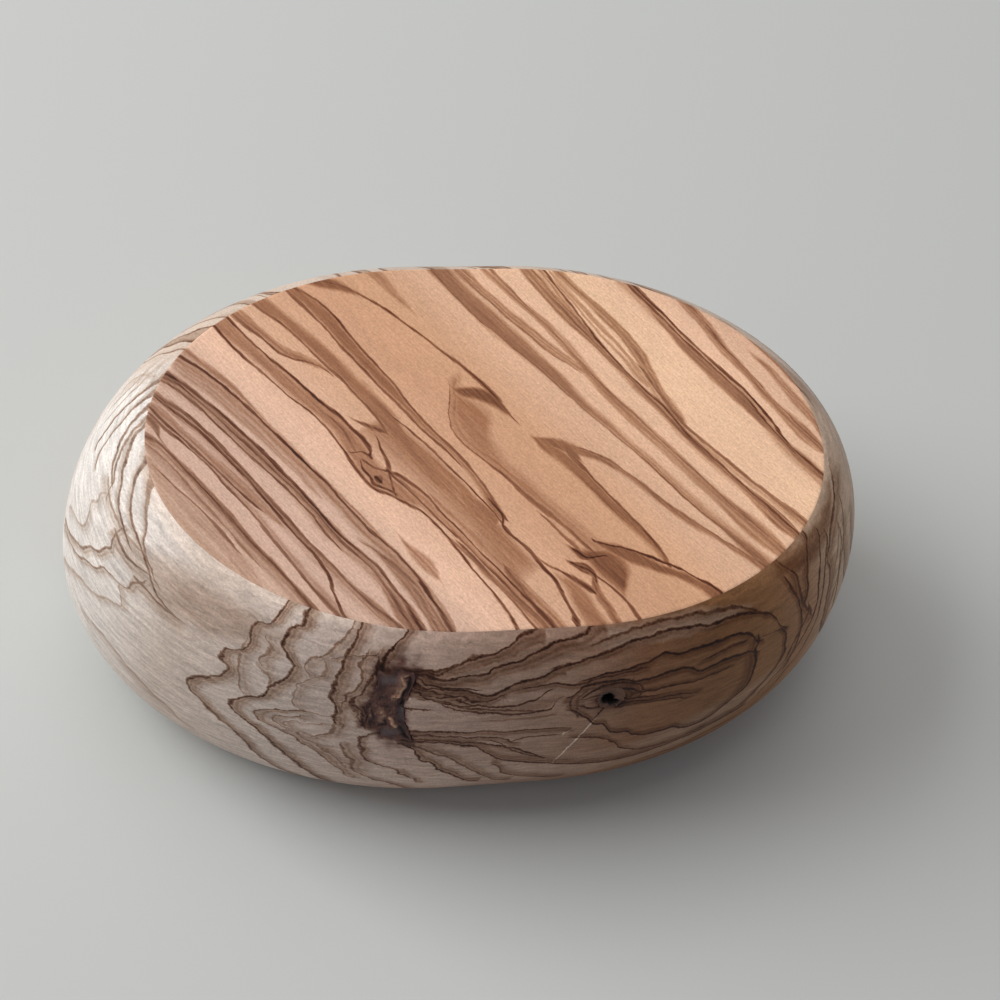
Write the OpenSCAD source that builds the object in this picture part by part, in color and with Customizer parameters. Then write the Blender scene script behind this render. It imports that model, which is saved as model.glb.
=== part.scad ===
// Oval olive-wood dish, upturned on its rim the way it was photographed.
// Millimetres. The origin is the middle of the rim plane, +X runs along the length, +Z points out of the foot.

/* [Outside] */
// Overall length, at the widest line of the wall
dish_l = 150; // [125:1:200]
// Overall width, at the widest line of the wall
dish_w = 98; // [85:1:130]
// Overall height, from the rim plane to the foot face
dish_h = 50; // [44:1:65]
// Straight stretch in the middle of each long side
straight_l = 17; // [4:1:35]
// Height of the widest line above the rim plane
bulge_z = 19; // [14:0.5:23]
// How far the foot's edge lies inside the widest line, at the long sides
foot_in = 9.75; // [6:0.25:13]
// How far the wall's curve would rise past the foot face if it were not cut flat
foot_cut = 0.6; // [0.3:0.1:4]
// How far the rim's outer edge lies inside the widest line, at the long sides
rim_in = 6.5; // [3:0.25:9]
// Rounding of the rim's outer edge
rim_outer_r = 3; // [1:0.25:4]

/* [Hollow] */
// Thickness of the wall at the rim
rim_t = 6.5; // [5:0.25:9]
// Thickness of the floor behind the foot
floor_t = 9; // [7:0.5:13]
// Rounding of the rim's inner edge
rim_inner_r = 2; // [0.5:0.25:2.5]
// Height of the hollow's upright side above the rim plane
hollow_side = 8; // [4:0.5:14]
// How far the hollow's rounded corner reaches in from its side
hollow_corner = 18; // [10:0.5:24]

/* [Bark knot] */
// Place of the knot along the length
bark_x = -23.5; // [-40:0.5:-10]
// Distance of the knot's middle below the foot face
bark_below = 13.5; // [11:0.5:18]
// Width of the knot along the wall
bark_w = 8.5; // [5:0.5:11]
// Height of the knot up the wall
bark_h = 17; // [10:0.5:19]
// Depth of the pocket the knot sits in
bark_depth = 7; // [4:0.5:9]
// How much narrower the knot's inner end is, on each side
bark_draw = 1.2; // [0.4:0.1:2]
// How far the weathered knot has sunk below the wall
bark_sink = 1; // [0.8:0.1:2]

/* [Pin knot] */
// Place of the knot along the length
pin_x = 15.3; // [6:0.1:40]
// Distance of the knot's middle below the foot face
pin_below = 12.3; // [6:0.1:20]
// Diameter of the knot at the wall
pin_d = 5; // [3.5:0.1:8]
// Depth of the pocket the knot sits in
pin_depth = 6; // [4:0.5:9]
// How much narrower the knot's inner end is, on each side
pin_draw = 0.6; // [0.2:0.1:1]
// How far the knot has shrunk below the wall
pin_sink = 0.4; // [0.2:0.1:1]

/* [Fits] */
// Gap that the bark leaves between a dead knot and the wood around it
knot_gap = 0.2; // [0.1:0.05:0.4]

/* [Hidden] */
// Overrun of every cut
overrun = 3;
$fn = 72;
half_w = dish_w / 2;
// The ends are half turns of the side's section, stretched along the length by this share
end_share = (dish_l - straight_l) / dish_w;
// Half axes of the wall's curve between the widest line and the foot
wall_rise = dish_h - bulge_z + foot_cut;
wall_reach = foot_in / (1 - sqrt(1 - pow((dish_h - bulge_z) / wall_rise, 2)));
// Radius of the wall's curve between the widest line and the rim
skirt_r = (pow(bulge_z, 2) + pow(rim_in, 2)) / (2 * rim_in);
skirt_x = half_w - skirt_r;
// Centre of the rim's outer rounding and the height where it runs into the wall
turn_x = skirt_x + sqrt(pow(skirt_r - rim_outer_r, 2) - pow(bulge_z - rim_outer_r, 2));
turn_z = bulge_z - (bulge_z - rim_outer_r) * skirt_r / (skirt_r - rim_outer_r);
// Mouth of the hollow, as half its width and half its length
mouth_w = half_w - rim_in - rim_t;
mouth_l = dish_l / 2 - rim_in * end_share - rim_t;
mouth_share = (mouth_l - straight_l / 2) / mouth_w;
hollow_rise = dish_h - floor_t - hollow_side;
bark_z = dish_h - bark_below;
pin_z = dish_h - pin_below;

// Half width of the outside at a height, and how far it leans in for each step up
function wall_at(z) = z < bulge_z
  ? skirt_x + sqrt(pow(skirt_r, 2) - pow(bulge_z - z, 2))
  : half_w - wall_reach + wall_reach * sqrt(1 - pow((z - bulge_z) / wall_rise, 2));
function lean_at(z) = z < bulge_z
  ? -(bulge_z - z) / sqrt(pow(skirt_r, 2) - pow(bulge_z - z, 2))
  : wall_reach * (z - bulge_z) / pow(wall_rise, 2) / sqrt(1 - pow((z - bulge_z) / wall_rise, 2));
// How far a place along the length lies past the straight stretch, taken back to the unstretched section
function past_at(x) = sign(x) * max(abs(x) - straight_l / 2, 0) / end_share;

// Puts its children on the front wall, with their Z axis square to it
module on_front_wall(x, z) {
  past = past_at(x);
  front = sqrt(pow(wall_at(z), 2) - pow(past, 2));
  out = [past / end_share / wall_at(z), -front / wall_at(z), lean_at(z)];
  translate([x, -front, z])
    rotate([0, acos(out.z / norm(out)), atan2(out.y, out.x)])
      children();
}

// Sweeps a section around the oval: a half turn at each end and a straight stretch between them
module oval_sweep(share) {
  for (side = [0, 1])
    mirror([side, 0, 0])
      translate([straight_l / 2, 0, 0])
        scale([share, 1, 1])
          rotate([0, 0, -90])
            rotate_extrude(angle = 180)
              children();
  translate([-straight_l / 2, 0, 0])
    rotate([90, 0, 90])
      linear_extrude(straight_l) {
        children();
        mirror([1, 0])
          children();
      }
}

// Section of the outside from the middle out, rim plane at the bottom and foot face at the top
module outside_section() {
  intersection() {
    translate([half_w - wall_reach, bulge_z])
      scale([wall_reach / wall_rise, 1])
        circle(r = wall_rise);
    translate([0, bulge_z])
      square([dish_w, dish_h - bulge_z]);
  }
  square([half_w - wall_reach, dish_h]);
  intersection() {
    translate([skirt_x, bulge_z])
      circle(r = skirt_r);
    translate([0, turn_z])
      square([dish_w, bulge_z - turn_z]);
  }
  square([turn_x, bulge_z]);
  translate([turn_x, rim_outer_r])
    circle(r = rim_outer_r);
}

// Section of the hollow, open at the rim plane
module hollow_section() {
  intersection() {
    translate([mouth_w - hollow_corner, hollow_side])
      scale([hollow_corner / hollow_rise, 1])
        circle(r = hollow_rise);
    translate([0, hollow_side])
      square([mouth_w, hollow_rise]);
  }
  square([mouth_w - hollow_corner, hollow_side + hollow_rise]);
  translate([0, -overrun])
    square([mouth_w, hollow_side + overrun]);
  difference() {
    translate([0, -overrun])
      square([mouth_w + rim_inner_r, rim_inner_r + overrun]);
    translate([mouth_w + rim_inner_r, rim_inner_r])
      circle(r = rim_inner_r);
  }
}

// A knot as a tapered stub. Its wide end lies the given rise above the wall, its flanks are moved out by the gap
module knot_stub(width, height, depth, draw, rise, gap) {
  slope = draw / depth;
  translate([0, 0, -depth])
    scale([(height + 2 * gap) / (width + 2 * gap), 1, 1])
      cylinder(h = depth + rise, r1 = width / 2 - draw + gap, r2 = width / 2 + slope * rise + gap);
}

// The carved body, with a pocket for each dead knot
module dish_body() {
  color([0.72, 0.57, 0.45])
    difference() {
      oval_sweep(end_share)
        outside_section();
      oval_sweep(mouth_share)
        hollow_section();
      on_front_wall(bark_x, bark_z)
        knot_stub(bark_w, bark_h, bark_depth, bark_draw, overrun, knot_gap);
      on_front_wall(pin_x, pin_z)
        knot_stub(pin_d, pin_d, pin_depth, pin_draw, overrun, knot_gap);
    }
}

// The big dead knot, a branch stub still wrapped in its bark
module bark_knot() {
  color([0.24, 0.17, 0.12])
    on_front_wall(bark_x, bark_z)
      knot_stub(bark_w, bark_h, bark_depth, bark_draw, -bark_sink, 0);
}

// The small dead knot
module pin_knot() {
  color([0.28, 0.19, 0.13])
    on_front_wall(pin_x, pin_z)
      knot_stub(pin_d, pin_d, pin_depth, pin_draw, -pin_sink, 0);
}

dish_body();
bark_knot();
pin_knot();
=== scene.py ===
"""Oval olive-wood dish, upturned on its rim, dressed over its CAD frame."""

import math

import bmesh
import bpy
import numpy as np
from bpy.props import FloatProperty, FloatVectorProperty, PointerProperty
from mathutils import Matrix, Vector


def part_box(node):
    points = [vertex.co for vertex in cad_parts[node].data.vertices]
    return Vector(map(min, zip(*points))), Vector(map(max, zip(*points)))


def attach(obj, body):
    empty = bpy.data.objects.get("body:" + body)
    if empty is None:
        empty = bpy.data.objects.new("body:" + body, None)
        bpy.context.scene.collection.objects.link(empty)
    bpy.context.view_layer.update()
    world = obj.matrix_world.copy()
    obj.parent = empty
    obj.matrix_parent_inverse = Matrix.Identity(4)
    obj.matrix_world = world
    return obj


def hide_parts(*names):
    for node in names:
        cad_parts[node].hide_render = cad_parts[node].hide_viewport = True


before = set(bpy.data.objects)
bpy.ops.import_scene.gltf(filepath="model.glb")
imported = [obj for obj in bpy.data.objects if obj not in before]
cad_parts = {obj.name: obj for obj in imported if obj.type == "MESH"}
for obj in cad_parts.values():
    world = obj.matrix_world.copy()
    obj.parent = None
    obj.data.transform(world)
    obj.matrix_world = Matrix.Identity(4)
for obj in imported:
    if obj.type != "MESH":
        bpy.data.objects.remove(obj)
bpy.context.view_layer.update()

bl_info = {
    "name": "Olive-wood dish",
    "version": (1, 0, 0),
    "blender": (4, 5, 0),
    "location": "View3D > Sidebar > Dish",
    "description": "Makes an oval olive-wood dish with its knots and a studio floor",
    "category": "Add Mesh",
}

MM = 0.001
DISH_LOW, DISH_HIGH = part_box("dish_body")
BARK_LOW, BARK_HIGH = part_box("bark_knot")
PIN_LOW, PIN_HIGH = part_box("pin_knot")


# Sizes and colours


def linear(hex_colour):
    """An sRGB hex colour as linear red, green, blue."""
    channels = [int(hex_colour[i:i + 2], 16) / 255 for i in (1, 3, 5)]
    return tuple(c / 12.92 if c <= 0.04045 else ((c + 0.055) / 1.055) ** 2.4 for c in channels)


def length(name, description, default):
    """A length property in metres, given in millimetres."""
    return FloatProperty(name=name, description=description, default=default * MM, unit="LENGTH", precision=5)


class DishSizes(bpy.types.PropertyGroup):
    """Sizes of the carved form, as in the CAD frame."""

    straight: length("Straight stretch", "Straight stretch in the middle of each long side", 17)
    bulge_height: length("Bulge height", "Height of the widest line above the rim plane", 19)
    foot_inset: length("Foot inset", "How far the foot's edge lies inside the widest line", 9.75)
    foot_cut: length("Foot cut", "How far the wall's curve would rise past the foot", 0.6)
    rim_inset: length("Rim inset", "How far the rim's outer edge lies inside the widest line", 6.5)
    rim_outer_round: length("Outer rim rounding", "Radius of the rim's outer edge", 3)
    rim_inner_round: length("Inner rim rounding", "Radius of the rim's inner edge", 2)
    rim_thickness: length("Rim thickness", "Thickness of the wall at the rim", 6.5)
    floor_thickness: length("Floor thickness", "Thickness of the floor behind the foot", 9)
    hollow_side: length("Hollow side", "Height of the hollow's upright side above the rim plane", 8)
    hollow_corner: length("Hollow corner", "Reach of the hollow's rounded corner", 18)
    arris: length("Foot arris", "Width of the sanded edge round the foot", 0.2)
    bark_pit: length("Bark pit", "Depth of the ragged pit around the bark knot", 2.2)
    pin_pit: length("Pin pit", "Depth of the pocket around the small knot", 3)


def colour(name, description, default):
    """A colour property from an sRGB hex value."""
    return FloatVectorProperty(name=name, description=description, default=linear(default), subtype="COLOR",
                               min=0, max=1, size=3)


class DishColours(bpy.types.PropertyGroup):
    """Colours of the wood, bark and stage."""

    pale: colour("Pale wood", "Early wood between the growth lines", "#E6BC9D")
    tan: colour("Tan wood", "Broad darker bands", "#B28262")
    line: colour("Growth line", "Dark fine lines at the edges of the bands", "#693C27")
    darkest: colour("Darkest line", "Growth lines where they are darkest", "#3C1F11")
    knot: colour("Knot stain", "Stain of the wood around a dead knot", "#7A5048")
    floor: colour("Floor", "Plain pale floor", "#C8CBC9")


# The carved form

# Rings of the mesh down its section and steps round a quarter of the oval, and how close doubles lie.
FOOT_RINGS, WALL_RINGS, SKIRT_RINGS, RIM_RINGS = 76, 64, 18, 8
SIDE_RINGS, CORNER_RINGS, FLOOR_RINGS = 4, 24, 16
END_STEPS, STRAIGHT_STEPS = 88, 10
MERGE = 1e-7


class Form:
    """Section sizes worked out from the frame and the driving sizes, in metres."""

    def __init__(self, sizes):
        self.length = DISH_HIGH.x - DISH_LOW.x
        self.half_width = (DISH_HIGH.y - DISH_LOW.y) / 2
        self.height = DISH_HIGH.z - DISH_LOW.z
        self.straight = sizes.straight
        self.bulge = sizes.bulge_height
        self.end_share = (self.length - self.straight) / (2 * self.half_width)
        self.rise = self.height - self.bulge + sizes.foot_cut
        self.top_turn = math.asin((self.height - self.bulge) / self.rise)
        self.reach = sizes.foot_inset / (1 - math.cos(self.top_turn))
        self.foot = self.half_width - sizes.foot_inset
        self.skirt = (self.bulge ** 2 + sizes.rim_inset ** 2) / (2 * sizes.rim_inset)
        self.skirt_x = self.half_width - self.skirt
        self.rim_round = sizes.rim_outer_round
        drop = self.bulge - self.rim_round
        self.rim_x = self.skirt_x + math.sqrt((self.skirt - self.rim_round) ** 2 - drop ** 2)
        self.rim_turn = math.asin(drop / (self.skirt - self.rim_round))
        self.lip_round = sizes.rim_inner_round
        self.mouth = self.half_width - sizes.rim_inset - sizes.rim_thickness
        mouth_length = self.length / 2 - sizes.rim_inset * self.end_share - sizes.rim_thickness
        self.mouth_share = (mouth_length - self.straight / 2) / self.mouth
        self.side = sizes.hollow_side
        self.corner = sizes.hollow_corner
        self.hollow_rise = self.height - sizes.floor_thickness - self.side

    def wall_at(self, z):
        """Half width of the outside at a height."""
        if z < self.bulge:
            return self.skirt_x + math.sqrt(self.skirt ** 2 - (self.bulge - z) ** 2)
        return self.half_width - self.reach + self.reach * math.sqrt(1 - ((z - self.bulge) / self.rise) ** 2)

    def front_frame(self, x, z):
        """Matrix at a place on the front wall: X along the wall, Y up it, Z out of it."""
        past = math.copysign(max(abs(x) - self.straight / 2, 0), x) / self.end_share
        half = self.wall_at(z)
        front = math.sqrt(half ** 2 - past ** 2)
        step = 1e-5
        lean = (self.wall_at(z - step) - self.wall_at(z + step)) / (2 * step)
        out = Vector((past / self.end_share / half, -front / half, lean)).normalized()
        along = Vector((-out.y, out.x, 0)).normalized()
        up = out.cross(along)
        turn = Matrix((along, up, out)).transposed().to_4x4()
        return Matrix.Translation((x, -front, z)) @ turn


def arc(centre, half_axes, start, end, count):
    """Points along an elliptical arc, both ends included."""
    steps = np.linspace(start, end, count)
    return [(centre[0] + half_axes[0] * math.cos(a), centre[1] + half_axes[1] * math.sin(a)) for a in steps]


def outer_section(form):
    """Section of the outside, from the middle of the foot to the rim's flat land."""
    foot = [(form.foot * i / FOOT_RINGS, form.height) for i in range(FOOT_RINGS)]
    wall = arc((form.half_width - form.reach, form.bulge), (form.reach, form.rise), form.top_turn, 0, WALL_RINGS)
    skirt = arc((form.skirt_x, form.bulge), (form.skirt, form.skirt), 0, -form.rim_turn, SKIRT_RINGS)
    rim = arc((form.rim_x, form.rim_round), (form.rim_round, form.rim_round), -form.rim_turn, -math.pi / 2, RIM_RINGS)
    return foot + wall + skirt[1:] + rim[1:]


def hollow_section(form):
    """Section of the hollow, from the rim's flat land to the middle of its floor."""
    lip = arc((form.mouth + form.lip_round, form.lip_round), (form.lip_round, form.lip_round),
              -math.pi / 2, -math.pi, RIM_RINGS)
    rise = (form.side - form.lip_round) / SIDE_RINGS
    side = [(form.mouth, form.lip_round + rise * i) for i in range(1, SIDE_RINGS)]
    corner = arc((form.mouth - form.corner, form.side), (form.corner, form.hollow_rise), 0, math.pi / 2, CORNER_RINGS)
    flat = form.mouth - form.corner
    floor = [(flat * (1 - i / FLOOR_RINGS), form.side + form.hollow_rise) for i in range(1, FLOOR_RINGS + 1)]
    return lip + side + corner + floor


def sweep_oval(section, straight, share):
    """Sweeps a section round a quarter of the oval, a straight run and a quarter turn stretched by share, and
    mirrors it."""
    bm = bmesh.new()
    verts = [bm.verts.new((0, -r, z)) for r, z in section]
    run = [bm.edges.new(pair) for pair in zip(verts, verts[1:])]
    for _ in range(STRAIGHT_STEPS):
        moved = bmesh.ops.extrude_edge_only(bm, edges=run)["geom"]
        ends = [v for v in moved if isinstance(v, bmesh.types.BMVert)]
        bmesh.ops.translate(bm, vec=(straight / 2 / STRAIGHT_STEPS, 0, 0), verts=ends)
        run = [e for e in moved if isinstance(e, bmesh.types.BMEdge)]
    before = set(bm.verts)
    centre = Vector((straight / 2, 0, 0))
    bmesh.ops.spin(bm, geom=run, cent=centre, axis=(0, 0, 1), angle=math.pi / 2, steps=END_STEPS)
    turned = [v for v in bm.verts if v not in before]
    bmesh.ops.scale(bm, vec=(share, 1, 1), space=Matrix.Translation(-centre), verts=turned)
    for axis in ("Y", "X"):
        bmesh.ops.mirror(bm, geom=bm.verts[:] + bm.edges[:] + bm.faces[:], merge_dist=MERGE, axis=axis)
    bmesh.ops.remove_doubles(bm, verts=bm.verts, dist=MERGE)
    return bm


def finish_piece(bm, name, node, slot, *materials):
    """Turns a bmesh into a smooth piece that stands for a CAD node and rides on the root body."""
    bmesh.ops.recalc_face_normals(bm, faces=bm.faces)
    for face in bm.faces:
        face.smooth = True
    mesh = bpy.data.meshes.new(name)
    bm.to_mesh(mesh)
    bm.free()
    piece = bpy.data.objects.new(name, mesh)
    bpy.context.scene.collection.objects.link(piece)
    for material in materials:
        mesh.materials.append(material)
    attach(piece, "root")
    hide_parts(node)
    return mesh


def vertex_places(mesh):
    """The vertices of a mesh in millimetres, one row each."""
    places = np.zeros(len(mesh.vertices) * 3)
    mesh.vertices.foreach_get("co", places)
    return places.reshape(-1, 3) / MM


def write_attribute(mesh, name, values):
    """Stores one number per vertex under a name that a material reads."""
    mesh.attributes.new(name, "FLOAT", "POINT").data.foreach_set("value", values.astype(np.float32))


# The figure of the wood

# The grain crosses the foot at a slant. On the foot, lines run along the grain and are placed across it.
GRAIN_ALONG = np.array((0.559, -0.829))
GRAIN_ACROSS = np.array((0.829, 0.559))
# The foot's lines lie within this span, along and across, in millimetres.
FOOT_SPAN = (-60, 60)
# Each figure line is drawn by its points: distance along, distance across, half width, all in millimetres.
# Before the points stand how dark it gets (about 0.5 is a tan band, 1 the darkest growth line) and how wide a
# shade falls off to one side of it, in millimetres: upwards or to the right where positive.
FOOT_BANDS = (
    (0.52, 0, (14, 54, 0.26), (20, 53.8, 0.91), (26, 53, 1.3), (33, 52, 1.04), (37, 51, 0.91)),
    (0.52, 0, (4, 56.3, 0.26), (12, 56.6, 0.65), (20, 56.2, 0.65), (26, 55.5, 0.26)),
    (0.57, 0, (-4, 52.4, 0.65), (4, 51.6, 1.43), (10, 50.4, 1.43), (18, 49.5, 1.17), (26, 48.6, 1.17),
     (38, 48, 1.04)),
    (0.63, 0, (-8, 45.6, 0.26), (3, 44.6, 1.17), (10, 44.3, 1.69), (20, 44.2, 1.69), (30, 43.7, 1.17),
     (44, 43.4, 0.78)),
    (0.64, 0, (-24, 37.2, 0.65), (-15, 36.9, 1.04), (-8, 37, 1.43), (0, 36.2, 1.43), (6, 34.4, 1.43),
     (11, 32.6, 1.17), (18, 31.4, 0.65)),
    (0.4, 0, (-22, 35.9, 0.39), (-10, 34.6, 0.52), (0, 33.8, 0.52), (8, 32.2, 0.52)),
    (0.4, 0, (-20, 35, 0.26), (-10, 33.6, 0.39), (0, 32.6, 0.52), (8, 31.6, 0.39)),
    (0.66, 0, (-27, 32.5, 0.91), (-18, 31.6, 1.56), (-10, 31, 1.56), (0, 30.4, 1.17), (10, 29.9, 1.04),
     (20, 29.3, 0.91), (30, 29.4, 0.78), (50, 29.8, 0.78)),
    (0.52, 0, (-6, 25, 0.26), (0, 24.4, 1.04), (10, 24.1, 1.43), (20, 24.2, 1.56), (30, 24.2, 1.43),
     (50, 24.8, 1.04)),
    (0.52, 0, (-37, 21.4, 0.91), (-25, 21.7, 1.3), (-15, 22.2, 1.43), (-8, 23, 1.43), (-2, 24.1, 0.91),
     (2, 24.6, 0.26)),
    (0.55, 0, (-31, 25.5, 0.6), (-24, 25.7, 0.9), (-14.3, 26, 1.1), (-6.3, 25.7, 1.2), (-1, 25.2, 1),
     (2.9, 25, 0.7), (7, 24.6, 0.4)),
    (0.57, 0, (-39, 18.8, 1.69), (-30, 18.3, 2.21), (-22, 18.2, 2.47), (-12, 18.6, 2.21), (-4, 18.9, 1.82),
     (5, 18.9, 1.43), (15, 19.3, 1.04), (35, 19.9, 0.91), (51, 20.9, 0.78)),
    (0.56, 0, (3.4, 5.8, 0.4), (5.5, 7, 1.5), (7, 8.2, 1.7), (10.8, 10.2, 1.5), (13.9, 12.2, 1.1),
     (17.7, 13.5, 0.9), (22.4, 14.4, 0.9), (28, 15, 0.9), (35, 16.3, 0.9), (42, 18, 0.85), (50, 19.9, 0.7)),
    (0.54, 0, (3.6, 5.8, 0.3), (6.5, 6.3, 1.3), (9.7, 7, 1.6), (14.5, 7.3, 1.5), (20.5, 7.2, 1.4),
     (26.8, 7.3, 1.3), (34, 6.7, 0.9), (38, 6.3, 0.4)),
    (0.64, 0, (26.3, -0.9, 0.5), (29.1, 0.5, 1.5), (32.2, 2, 1.9), (37.2, 4.3, 1.5), (41, 6.6, 1.3),
     (44, 7.7, 1.3), (50, 9.2, 1.3)),
    (0.66, 0, (26.5, -3.8, 0.8), (29.3, -2.6, 2.9), (32, -2.2, 3.4), (34.6, -2.6, 2.8), (36.5, -3.8, 1.6),
     (37.8, -4.6, 0.6)),
    (0.5, 0, (3, -13, 0.4), (6.5, -13.2, 1.8), (10, -13, 2.3), (12.6, -12.6, 2), (14, -13.6, 1.4),
     (18, -13.6, 0.6)),
    (0.45, 0, (27, -11.3, 0.6), (30, -10.8, 1.5), (33.5, -11.4, 2.2), (37, -12.4, 2.4), (41, -13, 2.2)),
    (0.36, 0, (-13.5, 1.5, 0.5), (-12, 1.2, 1.6), (-10, 0.5, 2.6), (-6.6, -0.3, 4.2), (-4, -0.9, 4.3),
     (-1, -2.3, 3), (2.6, -2.7, 2.1), (8, -2.9, 1.4), (15, -2.8, 0.8), (21, -2.8, 0.6), (27, -2.5, 0.3)),
    (0.63, 0, (-49, -4.2, 1.17), (-45, -1.4, 2.21), (-42, 0.4, 1.56), (-38, 2.5, 0.52)),
    (0.46, 0, (-45, 7.6, 1.3), (-40, 7.9, 1.43), (-35, 7.6, 0.91), (-29, 7.4, 0.26)),
    (0.5, 0, (-49, -7.3, 0.9), (-43, -6.8, 1.6), (-38, -6.7, 1.8), (-30, -7.4, 1.6), (-20, -7.9, 1.3),
     (-10, -8.5, 0.9), (0, -8.4, 0.8), (6, -9.3, 0.9), (13, -10.8, 1.0)),
    (0.5, 0, (-50, -14, 1.1), (-42, -13, 1.5), (-34, -12.5, 1.8), (-24, -12.3, 1.7), (-16, -12.6, 2.0),
     (-10, -13.6, 1.9), (-4, -14.4, 1.6), (4, -14.2, 1.2)),
    (0.5, 0, (-51, -19.4, 0.9), (-42, -18.6, 1.0), (-37, -17.7, 1.1), (-33, -15.9, 1.0), (-29, -14.5, 0.5)),
    (0.5, 0, (-52, -22.6, 1.4), (-44, -22.9, 1.9), (-36, -22.5, 2.0), (-28, -21.9, 2.0), (-20, -21.3, 1.9),
     (-13, -21.9, 2.3), (-6, -22.5, 2.6), (-1, -21.6, 2.1), (3, -20.6, 0.9)),
    (0.7, 0, (-26, -21.2, 0.2), (-19, -20.8, 0.8), (-15, -21.5, 1.3), (-13.2, -21.9, 1), (-12.4, -22, 0.2)),
    (0.45, 0, (2, -17.8, 0.5), (12, -17.4, 0.8), (20, -17.6, 1.1), (28, -17.6, 1.0), (37, -18, 0.7)),
    (0.4, 0, (-1, -20, 0.8), (10, -19.6, 0.9), (22, -19.8, 1.2), (38, -20.2, 1.1)),
    (0.5, 0, (3.5, -27.9, 0.1), (7.6, -28.1, 0.9), (10.5, -28, 1.4), (13, -28.1, 1.4), (16.5, -28.4, 0.2)),
    (0.5, 0, (-51, -33.2, 0.8), (-45, -31.8, 1.0), (-38, -30.9, 0.8), (-30, -30.7, 0.5), (0, -30.6, 0.5),
     (13, -31, 0.6), (24, -33, 0.8)),
    (0.4, 0, (-46, -35.6, 0.9), (-36, -33.8, 1.5), (-26, -33.2, 1.3), (-16, -33, 1.1), (-9, -33.5, 0.4)),
    (0.6, 0, (1, -33.8, 0.2), (7, -33, 1.0), (12, -32.9, 1.5), (18, -33.8, 1.5), (27, -36, 1.0)),
    (0.55, 0, (-48, -38.9, 0.9), (-36, -37, 1.2), (-22, -36.3, 1.1), (-10, -36, 0.8), (6, -36, 0.8),
     (22, -38, 1.1)),
    (0.5, 0, (-45, -42.6, 0.5), (-28, -41, 0.9), (-14, -41.2, 0.8), (0, -41.6, 0.6), (20, -40.6, 0.5)),
    (0.5, 0, (-42, -44.4, 0.7), (-34, -43.9, 1.0), (-26, -43.4, 1.0), (-20, -43.1, 1.2), (-14, -42.9, 1.1),
     (-7, -42.6, 0.3)),
    (0.3, 0, (-36, -50.4, 0.6), (-24, -50.4, 1.2), (-12, -50.4, 1.0), (0, -50.6, 0.8), (7, -51, 0.6)),
    (0.22, 0, (-36, -52.6, 0.7), (-24, -53, 1.4), (-12, -53, 1.4), (-2, -53.4, 0.9)),
    (0.16, 0, (-30, -55.2, 0.6), (-16, -55.8, 1.0), (-6, -55.4, 0.6)),
)
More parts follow.
